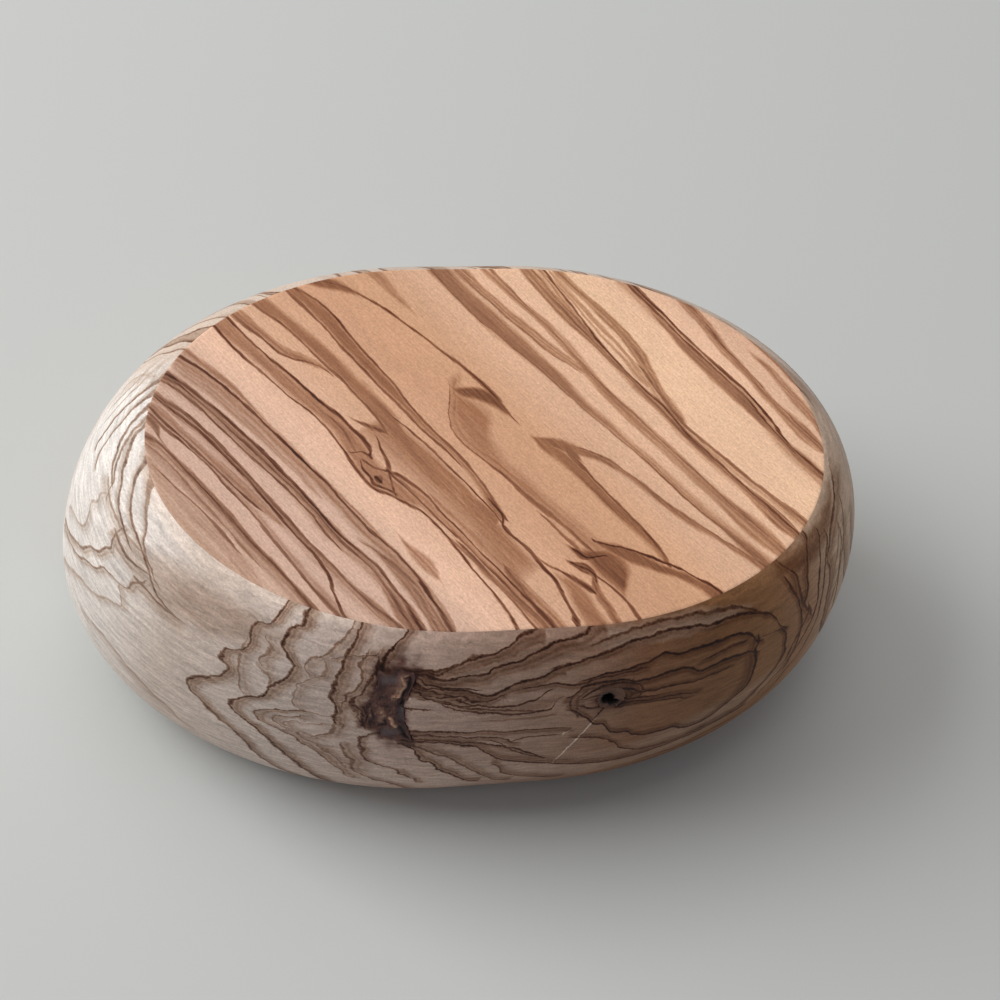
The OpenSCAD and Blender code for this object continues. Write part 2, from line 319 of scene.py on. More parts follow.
FOOT_LINES = (
    (0.75, 0, (-4, 52.6, 0.3), (4, 52, 0.35), (9, 51, 0.6), (12, 50.6, 0.55), (18, 50.1, 0.3), (26, 49.2, 0.3),
     (38, 48.6, 0.25)),
    (0.9, -3, (-12, 46.9, 0.4), (0, 46.4, 0.4), (10, 46.1, 0.4), (20, 46.3, 0.4), (27, 45.2, 0.4),
     (35, 44, 0.35), (45, 43.9, 0.35)),
    (0.85, 0, (-12, 46.1, 0.3), (0, 45.6, 0.3), (10, 45.3, 0.35), (20, 45.3, 0.35), (27, 44.4, 0.3),
     (36, 43.5, 0.2)),
    (0.85, -2, (-25, 35.3, 0.3), (-17, 34, 0.4), (-10, 32.5, 0.45), (0, 31.1, 0.45), (8, 30.6, 0.5),
     (14, 30.7, 0.65), (20, 29.9, 0.6), (30, 29.9, 0.45), (50, 30.5, 0.4)),
    (0.7, -2, (4, 33.8, 0.3), (11, 32.2, 0.5), (17, 31.2, 0.55), (20, 30.9, 0.5), (30, 31.5, 0.5),
     (38, 32.3, 0.5), (50, 33.3, 0.5)),
    (0.6, 0, (-27, 31.9, 0.25), (-18, 30.6, 0.25), (-8, 30.2, 0.25), (3, 29.8, 0.2)),
    (0.65, 0, (-32, 26.8, 0.25), (-20, 26.4, 0.35), (-10, 25.9, 0.35), (-3, 25.2, 0.55), (1, 25, 0.5),
     (10, 24.8, 0.4), (30, 24.9, 0.4), (50, 25.5, 0.35)),
    (0.65, 0, (-37, 20.9, 0.3), (-25, 21, 0.3), (-15, 21.4, 0.3), (-7, 22.2, 0.25), (-1, 23.6, 0.1)),
    (0.65, 2.2, (-39, 17.7, 0.3), (-30, 16.9, 0.4), (-23, 16.6, 0.45), (-15, 17.2, 0.4), (-5, 17.8, 0.35),
     (5, 18.1, 0.3), (15, 18.7, 0.3), (35, 19.5, 0.35), (51, 20.7, 0.35)),
    (0.65, 0, (9, 10.2, 0.15), (12, 12, 0.3), (15, 13.4, 0.35), (20, 14.4, 0.35), (28, 15.4, 0.35),
     (35, 16.7, 0.35), (42, 18.5, 0.35), (50, 20.4, 0.3)),
    (0.7, 0, (10, 8.9, 0.4), (16, 8.5, 0.35), (24, 8.2, 0.35), (31, 7.7, 0.4), (35, 7.1, 0.45), (38, 6.3, 0.4)),
    (0.65, 0, (7.5, 9.4, 0.2), (10, 9.4, 0.7), (13.5, 9.3, 0.1)),
    (0.95, 0, (26.5, -0.8, 0.35), (29, 1, 0.35), (32, 3.2, 0.4), (36, 5.4, 0.45), (40, 7.3, 0.3),
     (50, 9.9, 0.25)),
    (0.75, 0, (30.5, -6, 0.2), (34.4, -5.5, 0.35), (38.2, -5.3, 0.4), (42.4, -6, 0.4)),
    (1, 0, (24.4, -5.5, 0.4), (26.2, -5, 1), (27.8, -4.5, 1.3), (29, -2.9, 1.1), (30, -1.4, 0.6)),
    (1, 0, (26.6, -7.7, 0.4), (28, -6.9, 1), (29.4, -6.3, 1.2), (31.4, -6, 0.7), (33, -6.8, 0.4)),
    (0.65, 0, (31.5, -6.4, 0.4), (32.6, -7.2, 0.9), (35.1, -8.3, 1), (37.5, -8.7, 0.9), (39.8, -9.4, 0.9),
     (44, -10.2, 0.8)),
    (0.9, 0, (21, -11.9, 0.2), (24, -11.5, 0.3), (27.4, -10.2, 0.45), (31.1, -9.2, 0.8), (33.7, -8.6, 0.6)),
    (0.6, 0, (16, -4.7, 0.15), (18, -4.6, 0.3), (22.1, -4.5, 0.35), (25.9, -4.3, 0.4)),
    (0.66, 0, (-14, 1.7, 0.3), (-12.5, 1.9, 1), (-10.6, 3.3, 2.1), (-8.7, 4.7, 2.3), (-7, 5.4, 2),
     (-5, 5.7, 1.4), (-3, 5.8, 0.9), (-1.2, 6, 0.2)),
    (0.65, 3.5, (-14.2, 1.9, 0.15), (-12.5, 0.2, 0.3), (-10.6, -1.5, 0.3), (-8.6, -3.3, 0.3), (-6.6, -4.6, 0.3),
     (-3.4, -5.4, 0.35), (2.5, -4.8, 0.4), (7.8, -4.2, 0.5), (13.8, -3.8, 0.6), (18.9, -3.4, 0.6),
     (23.7, -3, 0.5), (27.5, -2.7, 0.4)),
    (0.75, -10, (-15, -11.8, 0.15), (-10, -11.2, 0.25), (-4, -10.9, 0.3), (3, -10.9, 0.3), (10, -11.2, 0.25),
     (17, -11.8, 0.2), (24, -12.2, 0.1)),
    (0.75, 0, (-49, -4.8, 0.6), (-44, -0.4, 0.6), (-41, 1.4, 0.5), (-36, 3.2, 0.4), (-28, 4.6, 0.4),
     (-18, 6.1, 0.45), (-12, 6.7, 0.55), (-8, 6.8, 0.6), (-4, 6.3, 0.5), (0, 5.9, 0.2)),
    (0.7, 0, (-50, -7.3, 0.4), (-43, -5.5, 0.35), (-38, -5.1, 0.35), (-30, -6, 0.35), (-20, -6.8, 0.35),
     (-10, -7.8, 0.4), (0, -7.8, 0.4), (6, -8.6, 0.35), (13.5, -10.5, 0.35)),
    (0.7, 0, (-50, -8.2, 0.25), (-38, -8.4, 0.3), (-28, -8.9, 0.35), (-18, -9.1, 0.4), (-8, -9.2, 0.35),
     (1, -9, 0.2)),
    (0.7, 0, (-51, -15.5, 0.35), (-42, -14.2, 0.35), (-34, -14, 0.4), (-26, -13.7, 0.4), (-20, -13.8, 0.4),
     (-16, -14.2, 0.5), (-12.5, -15.1, 0.35)),
    (0.85, 0, (9, -10, 0.3), (12.9, -10.6, 0.4), (14.4, -11.8, 0.4), (19.6, -11.8, 0.45), (24.7, -12.2, 0.45),
     (28.6, -12.5, 0.45), (32.9, -13.9, 0.45), (39, -16, 0.4)),
    (0.75, 0, (-51, -20.1, 0.35), (-42, -19.4, 0.35), (-37, -18.6, 0.4), (-34.5, -17.3, 0.45),
     (-32, -15.6, 0.35), (-28, -14.4, 0.2)),
    (0.8, 0, (-19, -18, 0.2), (-16, -16.7, 0.7), (-14, -15.8, 0.9), (-12.4, -15.3, 0.3)),
    (0.8, 0, (-13.5, -16.9, 0.2), (-10.2, -18.5, 0.45), (-8, -19.2, 0.5), (-6, -20.1, 0.45)),
    (0.9, 0, (-13.2, -22.8, 0.3), (-12.2, -21.4, 0.5), (-10.5, -20.7, 0.4)),
    (0.85, 0, (-11.3, -22.3, 0.2), (-9.3, -22.2, 0.4), (-7.8, -21.7, 0.45), (-6.7, -20.6, 0.5),
     (-6, -20.2, 0.4)),
    (0.85, 0, (-11.1, -22.5, 0.2), (-9.3, -23.6, 0.4), (-7.1, -23.9, 0.4), (-5.7, -24.3, 0.45),
     (-3.5, -23.2, 0.45), (-2, -22.4, 0.4)),
    (0.85, 0, (-6, -20.3, 0.4), (-4.3, -21.4, 0.45), (-2.9, -22.1, 0.45), (-1.8, -22.6, 0.3)),
    (1.1, 0, (-7, -23, 0.3), (-6.3, -23, 0.85), (-5.5, -23, 0.85), (-4.9, -23.1, 0.3)),
    (0.9, -2.4, (-52, -21, 0.35), (-44, -21.4, 0.35), (-36, -20.8, 0.4), (-26, -20.1, 0.4), (-18, -19.4, 0.45),
     (-13.3, -19.4, 0.55), (-11.3, -20, 0.5), (-10.4, -20.8, 0.4)),
    (0.85, 0, (-52, -24, 0.3), (-42, -24.7, 0.35), (-32, -24.2, 0.3), (-23, -23, 0.3), (-16, -23.4, 0.4),
     (-10, -24.4, 0.45), (-6, -25, 0.5), (-4.5, -24.7, 0.5), (-1.1, -22.9, 0.45), (2, -21.8, 0.4),
     (5, -21.2, 0.4), (11.8, -21.4, 0.35), (18.5, -22.4, 0.35), (24.8, -23, 0.35), (29, -23.8, 0.35),
     (36, -25.4, 0.35)),
    (0.85, -2.2, (-6.2, -20.2, 0.4), (-4.3, -19.4, 0.6), (-2.4, -19, 0.5), (1.3, -18.5, 0.4), (6, -18.6, 0.4),
     (14, -18.7, 0.35), (24, -18.8, 0.4), (38, -19, 0.35)),
    (0.75, 0, (-5, -20.3, 0.35), (-2.3, -20, 0.45), (3, -20.1, 0.35), (10, -19.9, 0.35), (22, -19.9, 0.35),
     (38, -20.2, 0.3)),
    (0.7, 0, (12, -20.6, 0.2), (20, -20.7, 0.35), (28, -21.2, 0.35), (38, -22.3, 0.3)),
    (0.75, 0, (19.5, -17.4, 0.2), (21.6, -17.7, 0.8), (26.1, -18.1, 1), (30.1, -18.9, 0.6), (34, -19.4, 0.2)),
    (0.9, -2.6, (-52, -34.9, 0.4), (-43, -32.7, 0.45), (-35, -31.6, 0.45), (-25, -31.1, 0.45),
     (-12, -30.8, 0.4), (0, -31.2, 0.4), (8, -30.8, 0.45), (14, -31.3, 0.5), (20, -32.4, 0.55),
     (29, -34.6, 0.55)),
    (0.75, 0, (1.5, -34, 0.15), (6, -33, 0.4), (9, -32.4, 0.6), (14, -32.4, 0.3)),
    (0.9, -3, (-49, -39, 0.55), (-40, -36.8, 0.5), (-30, -35.8, 0.5), (-20, -35.5, 0.5), (-10, -35.4, 0.45),
     (-2, -36, 0.45), (7, -35.1, 0.45), (14, -35.8, 0.5), (24, -37.9, 0.5)),
    (0.75, 0, (-49, -39.7, 0.3), (-40, -37.6, 0.35), (-30, -36.8, 0.35), (-20, -36.4, 0.35), (-10, -36.2, 0.3),
     (0, -36.7, 0.35), (8, -36.2, 0.4), (22, -38.8, 0.35)),
    (0.75, 0, (-48, -40.2, 0.3), (-40, -38.6, 0.35), (-30, -38, 0.35), (-20, -37.5, 0.35), (-10, -37.1, 0.3),
     (1, -37.8, 0.2)),
    (0.75, -2.4, (-46, -43, 0.4), (-36, -41, 0.45), (-26, -40.5, 0.45), (-16, -40.7, 0.45), (-6, -41.1, 0.4),
     (4, -41.2, 0.4), (12, -40.8, 0.4), (21, -39.8, 0.35)),
    (0.85, 0, (-43, -42.8, 0.25), (-34, -41.6, 0.4), (-26, -41.2, 0.45), (-18, -41.3, 0.45), (-8, -41.9, 0.4),
     (0, -42.2, 0.4), (4, -43.2, 0.4), (8, -45, 0.4), (12, -46.4, 0.35)),
    (0.8, 0, (-42, -45.1, 0.3), (-34, -44.8, 0.35), (-26, -44.4, 0.4), (-20, -43.9, 0.35), (-13, -43.5, 0.2)),
    (0.7, 1.8, (-40, -46.1, 0.3), (-30, -45.2, 0.25), (-22, -44.9, 0.3), (-14, -45.2, 0.35), (-6, -46, 0.4),
     (2, -46.5, 0.4), (12, -46.9, 0.35)),
    (0.7, 0, (-40.5, -46.8, 0.5), (-37, -47, 0.7), (-35, -47.8, 0.35), (-30, -48.3, 0.25)),
    (0.8, -1.6, (-40, -49.8, 0.5), (-33, -48.6, 0.6), (-26, -48.4, 0.8), (-18, -48.6, 0.9), (-8, -49, 0.8),
     (0, -49, 0.6), (10, -49.2, 0.5)),
    (0.5, 0, (-38, -50.4, 0.2), (-30, -50, 0.3), (-22, -50.2, 0.35), (-14, -50.6, 0.3), (-5, -51, 0.2)),
    (0.55, 0, (-31, -52.4, 0.15), (-20, -51.7, 0.25), (-9, -52, 0.2)),
)
# On the front wall a place is given by its distance round the wall from the middle of the front, and its height.
# Its lines lie within these spans.
WALL_SPAN, WALL_RISE = (-135, 105), (0, 60)
# These lines run round the wall.
WALL_ROUND = (
    (0.91, -3.1, (-22, 44.1, 0.5), (-17, 44.8, 0.4), (-14, 45.8, 0.4), (-11, 46.5, 0.4), (-8, 47, 0.4),
     (-5, 48, 0.35), (1, 49.8, 0.3)),
    (0.98, -3.1, (-22, 43.6, 0.6), (-15, 43.2, 0.4), (-11, 43.7, 0.35), (-8, 44, 0.4), (-6, 45, 0.4),
     (-3, 46, 0.4), (0, 46.9, 0.4), (4, 48.2, 0.4), (9, 49.3, 0.35), (13, 50.2, 0.3)),
    (0.98, -2.4, (-22, 42, 0.5), (-18.5, 41.5, 0.35), (-15.8, 41.4, 0.35), (-13.6, 40.9, 0.4), (-11, 40.4, 0.4),
     (-8.5, 39.9, 0.4), (-6.3, 39.8, 0.45), (-4.8, 40.4, 0.45), (-3, 41.5, 0.4), (-0.7, 42.3, 0.4),
     (2.2, 43.2, 0.35), (5, 44.4, 0.3)),
    (0.85, 0, (-24, 44.9, 0.4), (-20.8, 44.2, 0.9), (-18, 43.9, 0.6), (-15.6, 45, 0.55), (-13, 46, 0.5),
     (-10, 47, 0.3)),
    (0.68, 0, (-22, 41.6, 0.9), (-19, 40.8, 1), (-15.5, 40.4, 1.1), (-13, 40.1, 0.9), (-10, 39.6, 0.8),
     (-7, 39.1, 0.6), (-5, 39.4, 0.2)),
    (0.7, 0, (-22.5, 43.4, 0.5), (-19, 42.7, 0.7), (-15, 42.3, 0.5), (-11, 42.4, 0.2)),
    (1, 0, (-22.6, 43.5, 0.2), (-20.3, 42.6, 0.25), (-16.4, 41.9, 0.25), (-13.1, 41.2, 0.25),
     (-8.8, 40.9, 0.15)),
    (1, 0, (-21.1, 41.4, 0.2), (-17.9, 41, 0.25), (-15, 39.9, 0.25), (-11.8, 39.2, 0.25), (-8.5, 38.3, 0.2)),
    (0.95, 0, (-20.4, 40.6, 0.2), (-18.6, 39.5, 0.25), (-16.3, 38.2, 0.25), (-13.2, 38, 0.2),
     (-8.3, 37.3, 0.15)),
    (0.6, 0, (-22.5, 43.2, 1.5), (-20, 43, 1.5), (-17, 42.6, 1.3), (-14, 42.2, 0.9), (-11, 41.9, 0.3)),
    (0.6, 0, (-22.5, 40.9, 1.5), (-20, 40.6, 1.5), (-17, 40.3, 1.3), (-14, 39.9, 1.2), (-11, 39.3, 0.9),
     (-8, 38.9, 0.5)),
    (0.62, 0, (-21.5, 29.2, 1.5), (-18, 28.9, 1.5), (-14, 28.6, 1.2), (-10, 28, 0.4)),
    (0.9, -1.3, (4, 44.4, 0.3), (8, 45.1, 0.35), (12, 46.3, 0.35), (16, 47, 0.35), (20, 47.6, 0.35),
     (26, 48, 0.35), (33, 47.5, 0.35), (38, 46.9, 0.35), (42, 46.6, 0.4), (46, 46, 0.4), (49, 44.8, 0.4),
     (51.5, 43, 0.4), (53, 40.6, 0.4), (54.2, 38, 0.4)),
    (0.75, -1.2, (10, 47.8, 0.2), (16, 48.6, 0.3), (22, 49.2, 0.3), (30, 49.3, 0.3), (38, 48.6, 0.35),
     (44, 47.5, 0.4), (48, 45.7, 0.3), (51, 43.6, 0.2)),
    (1, -1.4, (9, 41.6, 0.2), (14, 42.7, 0.35), (18, 43, 0.35), (22, 43.5, 0.35), (24, 44.2, 0.4),
     (26, 44.5, 0.4), (28, 43.9, 0.4), (34, 43.7, 0.4), (40, 43.5, 0.4), (43, 43, 0.45), (45, 42, 0.5),
     (46.5, 40.6, 0.5), (47.6, 39, 0.4)),
    (0.85, -1.4, (-2, 40.6, 0.2), (3, 41.4, 0.3), (9, 41, 0.35), (12, 41.8, 0.35), (16, 42.2, 0.35),
     (22, 42.6, 0.2)),
    (1, -1.8, (7.6, 38, 0.3), (9, 40, 0.4), (11, 40.7, 0.45), (14, 40.9, 0.45), (17, 40.8, 0.4), (21, 40, 0.35),
     (24, 40.2, 0.4), (28, 40.7, 0.45), (31, 40.3, 0.4), (32.5, 39.4, 0.4), (34, 38.7, 0.4), (38, 38.8, 0.4),
     (43, 38.4, 0.4), (45.4, 37.9, 0.4), (46.5, 36.6, 0.3)),
    (0.8, 1.2, (20, 37.2, 0.2), (26, 37.2, 0.3), (30, 36.8, 0.3), (34, 36.5, 0.3), (41, 36.5, 0.2)),
    (0.8, -1.2, (34, 40.9, 0.2), (38, 41.3, 0.4), (44, 41.1, 0.3)),
    (0.98, 1.4, (16, 35.4, 0.6), (20, 35.2, 0.4), (24, 34.8, 0.35), (28, 34.4, 0.35), (31, 33.8, 0.35),
     (34, 33, 0.2)),
    (0.72, 1.4, (17, 34.7, 0.4), (21, 34.6, 0.35), (25, 34.1, 0.3), (29, 33.4, 0.3), (32, 32.4, 0.2)),
    (0.9, 0, (9, 37.2, 0.15), (10.2, 38.2, 0.3), (12.4, 39.6, 0.35), (13.6, 40.1, 0.35), (17.4, 40.1, 0.35),
     (21, 39.1, 0.3), (22, 37.4, 0.15)),
    (0.95, 0, (16.7, 38.9, 0.2), (19.3, 38.5, 0.35), (21.5, 37.3, 0.2)),
    (0.9, 0, (16.5, 36.6, 0.3), (19, 36.1, 0.35), (22.9, 35.8, 0.3), (26, 35.6, 0.15)),
    (0.8, 0, (9.5, 36, 0.2), (12.4, 35.2, 0.3), (14.3, 35.5, 0.2)),
    (0.8, 0, (10, 37.4, 0.15), (12.3, 37.9, 0.3), (13.6, 38, 0.2)),
    (0.8, 0, (-22, 36.7, 0.3), (-19.6, 36.4, 0.3), (-17.2, 36.4, 0.15)),
    (0.26, 0, (-86, 41, 0.5), (-80, 43, 3.4), (-74, 43.4, 4.2), (-66, 43.8, 4.4), (-58, 44, 4.2),
     (-50, 45, 2.6), (-44, 46, 0.5)),
    (0.75, -1, (-122, 50.3, 0.3), (-115.3, 48.2, 0.4), (-112.5, 46, 0.4), (-109.5, 43.6, 0.4),
     (-107.2, 41.5, 0.3)),
    (0.65, -1, (-118.5, 50.4, 0.3), (-111, 47.9, 0.35), (-107, 45, 0.35), (-102.5, 41.9, 0.25)),
    (0.65, 0, (-114, 50.5, 0.3), (-106.7, 48.2, 0.35), (-102.5, 46.7, 0.35), (-95.4, 45.1, 0.2)),
    (0.5, 0, (-133, 48.3, 0.3), (-128, 47.9, 0.5), (-123, 47, 0.5), (-119.2, 45.5, 0.5), (-116, 41.5, 0.45),
     (-113.3, 36.6, 0.3)),
    (0.4, 0, (-128, 49.3, 0.3), (-121, 48.1, 0.4), (-116, 45.6, 0.4), (-112.5, 42, 0.4), (-111, 38, 0.3)),
    (0.6, 0, (-109.5, 50.4, 0.3), (-104.8, 48.6, 0.35), (-99.8, 46.7, 0.35), (-95.4, 45.2, 0.3),
     (-93, 43, 0.15)),
    (0.85, -1.8, (-21.5, 41, 0.4), (-17.6, 39.8, 0.35), (-15.5, 39.4, 0.35), (-13, 39.5, 0.35),
     (-10.8, 38.9, 0.4), (-7.6, 38.4, 0.4), (-5.6, 38.8, 0.35), (-4.4, 39.8, 0.2)),
    (0.75, 0, (-19, 39.2, 0.3), (-16, 38.7, 0.35), (-13.2, 38.1, 0.45), (-11.3, 37.3, 0.45), (-8.9, 36.6, 0.4),
     (-6.3, 36.1, 0.35), (-1.1, 35.6, 0.3), (2, 35.3, 0.2)),
    (0.85, 0, (-15.9, 37.8, 0.2), (-11.7, 36.6, 0.3), (-6.7, 35.5, 0.35), (-2.2, 34.7, 0.35), (2.1, 35.2, 0.3),
     (4.6, 35.6, 0.3), (6.1, 38.2, 0.2)),
    (0.9, 0, (-13.4, 39, 0.2), (-8.7, 37.5, 0.3), (-4.3, 36.8, 0.35), (0, 37.5, 0.35), (2, 38.5, 0.3),
     (4, 40.2, 0.2)),
    (0.26, 0, (-14, 37.5, 1), (-8, 36.6, 1.7), (-2, 36.2, 1.8), (3, 36.8, 1.7), (6, 38, 0.8)),
    (0.85, 0, (-5.5, 28, 0.15), (-3.1, 26.8, 0.3), (0.1, 23.9, 0.3), (2.6, 22.3, 0.3), (5, 21.4, 0.15)),
    (0.6, 0, (-2, 27.3, 0.15), (-0.2, 27.7, 0.3), (3.3, 28.3, 0.3), (6.8, 28.4, 0.15)),
    (0.39, 1.4, (-7, 33.4, 0.2), (-1, 33.6, 0.3), (5, 33.8, 0.3)),
    (0.9, -1.5, (-21, 31.3, 0.55), (-17.5, 31.1, 0.55), (-14, 31, 0.4), (-8, 30.6, 0.3), (-2, 30.2, 0.3),
     (3, 30.3, 0.3), (9, 30, 0.2)),
    (0.85, -1.5, (-20, 30, 0.4), (-15, 29.8, 0.35), (-11, 29.3, 0.3), (-7, 28.9, 0.3), (-4, 28.6, 0.3),
     (-2, 27.8, 0.3), (0, 26.8, 0.2)),
    (0.9, -1.5, (-20, 29.2, 0.4), (-16, 28.6, 0.4), (-12, 28, 0.35), (-8, 27.5, 0.35), (-4, 26.3, 0.35),
     (0, 25, 0.4), (2, 23.5, 0.4), (4, 22.3, 0.4), (6, 20.6, 0.3)),
    (0.91, 3.1, (-20.5, 28.6, 0.5), (-16, 27.9, 0.4), (-12, 27.3, 0.4), (-9, 26.8, 0.4), (-7, 25.5, 0.45),
     (-5, 23.8, 0.45), (-3, 22, 0.45), (-1, 20.9, 0.4), (3, 19.6, 0.4), (8, 18.5, 0.4), (13, 17.3, 0.4),
     (20, 16.5, 0.4), (28, 17.3, 0.4), (38, 18.8, 0.4), (47, 19.8, 0.3)),
    (0.72, 3.1, (-20.5, 27.6, 0.5), (-17, 26, 0.45), (-14, 24.2, 0.4), (-11, 22, 0.4), (-8, 19.5, 0.4),
     (-5, 16.5, 0.45), (-3, 14, 0.45), (1, 11, 0.4)),
    (0.98, 3.1, (-20.6, 27.4, 0.7), (-18, 24.5, 0.6), (-15.5, 22, 0.6), (-13.6, 20, 0.55), (-12, 18, 0.5),
     (-9, 15.5, 0.5), (-5, 12, 0.4)),
    (0.78, 3.1, (-2.7, 19.6, 0.5), (-1.6, 17.4, 0.6), (0, 15.4, 0.5), (4, 12.9, 0.4), (11, 10.8, 0.3)),
    (1, 1.8, (8.2, 35, 0.3), (10.5, 33.5, 0.4), (12, 32.2, 0.45), (13, 30.7, 0.4), (15, 30.3, 0.4),
     (16, 29, 0.45), (17, 27.5, 0.4), (20, 26.8, 0.4), (21.5, 25.3, 0.45), (23, 24.6, 0.4), (27, 24.2, 0.4),
     (30, 24.3, 0.45), (32, 23, 0.4), (35, 22.2, 0.4), (37.5, 22.6, 0.4), (40, 24, 0.4), (42, 25.4, 0.3)),
    (0.8, 1.6, (10, 27, 0.2), (14, 26.4, 0.35), (16.5, 25.4, 0.35), (18, 24, 0.4), (20, 21.5, 0.4),
     (22, 20, 0.4), (25, 19, 0.4), (30, 18.5, 0.35), (36, 19.5, 0.35), (42, 20, 0.4), (46, 21.4, 0.4),
     (50, 24.4, 0.3)),
    (0.75, 0, (26.2, 13.2, 0.25), (33, 13.8, 0.35), (39.3, 15.5, 0.35), (47, 16, 0.35), (54.5, 18.8, 0.35),
     (58.2, 23.3, 0.25)),
    (0.5, 0, (56, 48.6, 0.5), (62, 48, 1.6), (68, 47.6, 2), (74, 48, 1.8), (80, 48.6, 1.2), (86, 49.4, 0.4)),
    (0.78, -2.8, (70.3, 44, 0.3), (73, 45.5, 0.4), (76, 46.8, 0.4), (80, 47.6, 0.4), (86, 48.6, 0.25),
     (94, 49.4, 0.02)),
    (0.72, 2.8, (73, 15.6, 0.3), (78, 14.5, 0.45), (84, 14.2, 0.45), (90, 14.8, 0.45), (95, 16, 0.4),
     (102, 18.6, 0.3)),
    (0.52, 2.8, (71, 11.8, 0.3), (80, 10.5, 0.45), (86, 9.8, 0.45), (95, 9.6, 0.4)),
    (0.52, 2.8, (80, 21, 0.3), (86, 19, 0.4), (92, 18.6, 0.4), (100, 19.6, 0.3)),
    (0.7, -1, (-107, 50.2, 0.3), (-104, 49, 0.3), (-96, 47.2, 0.3), (-91, 45.4, 0.3), (-87, 44.4, 0.3),
     (-81, 43.2, 0.15)),
    (0.7, -1, (-100, 50.5, 0.3), (-92, 48, 0.3), (-87, 46.2, 0.3), (-80, 44.7, 0.3), (-76, 43, 0.35),
     (-72, 41, 0.3), (-67, 39.9, 0.15)),
    (0.6, -1, (-95, 50.4, 0.25), (-84, 47.6, 0.3), (-80, 45.2, 0.3), (-76, 43.6, 0.25), (-72, 42.2, 0.15)),
    (0.45, -2.2, (-98, 44.6, 0.2), (-92, 44, 0.3), (-86, 43.8, 0.3), (-80, 44.4, 0.2)),
    (0.72, -2.2, (-87, 42.6, 0.3), (-84, 42, 0.3), (-80, 41.9, 0.3), (-76, 42.4, 0.2)),
    (0.59, -2.2, (-77, 40.4, 0.4), (-74, 40.2, 0.35), (-70, 39.8, 0.3), (-65, 39.6, 0.15)),
    (0.39, -2.2, (-86, 20.5, 0.2), (-78, 21.6, 0.35), (-72, 19.8, 0.4), (-64, 17, 0.4), (-58, 14, 0.3)),
)
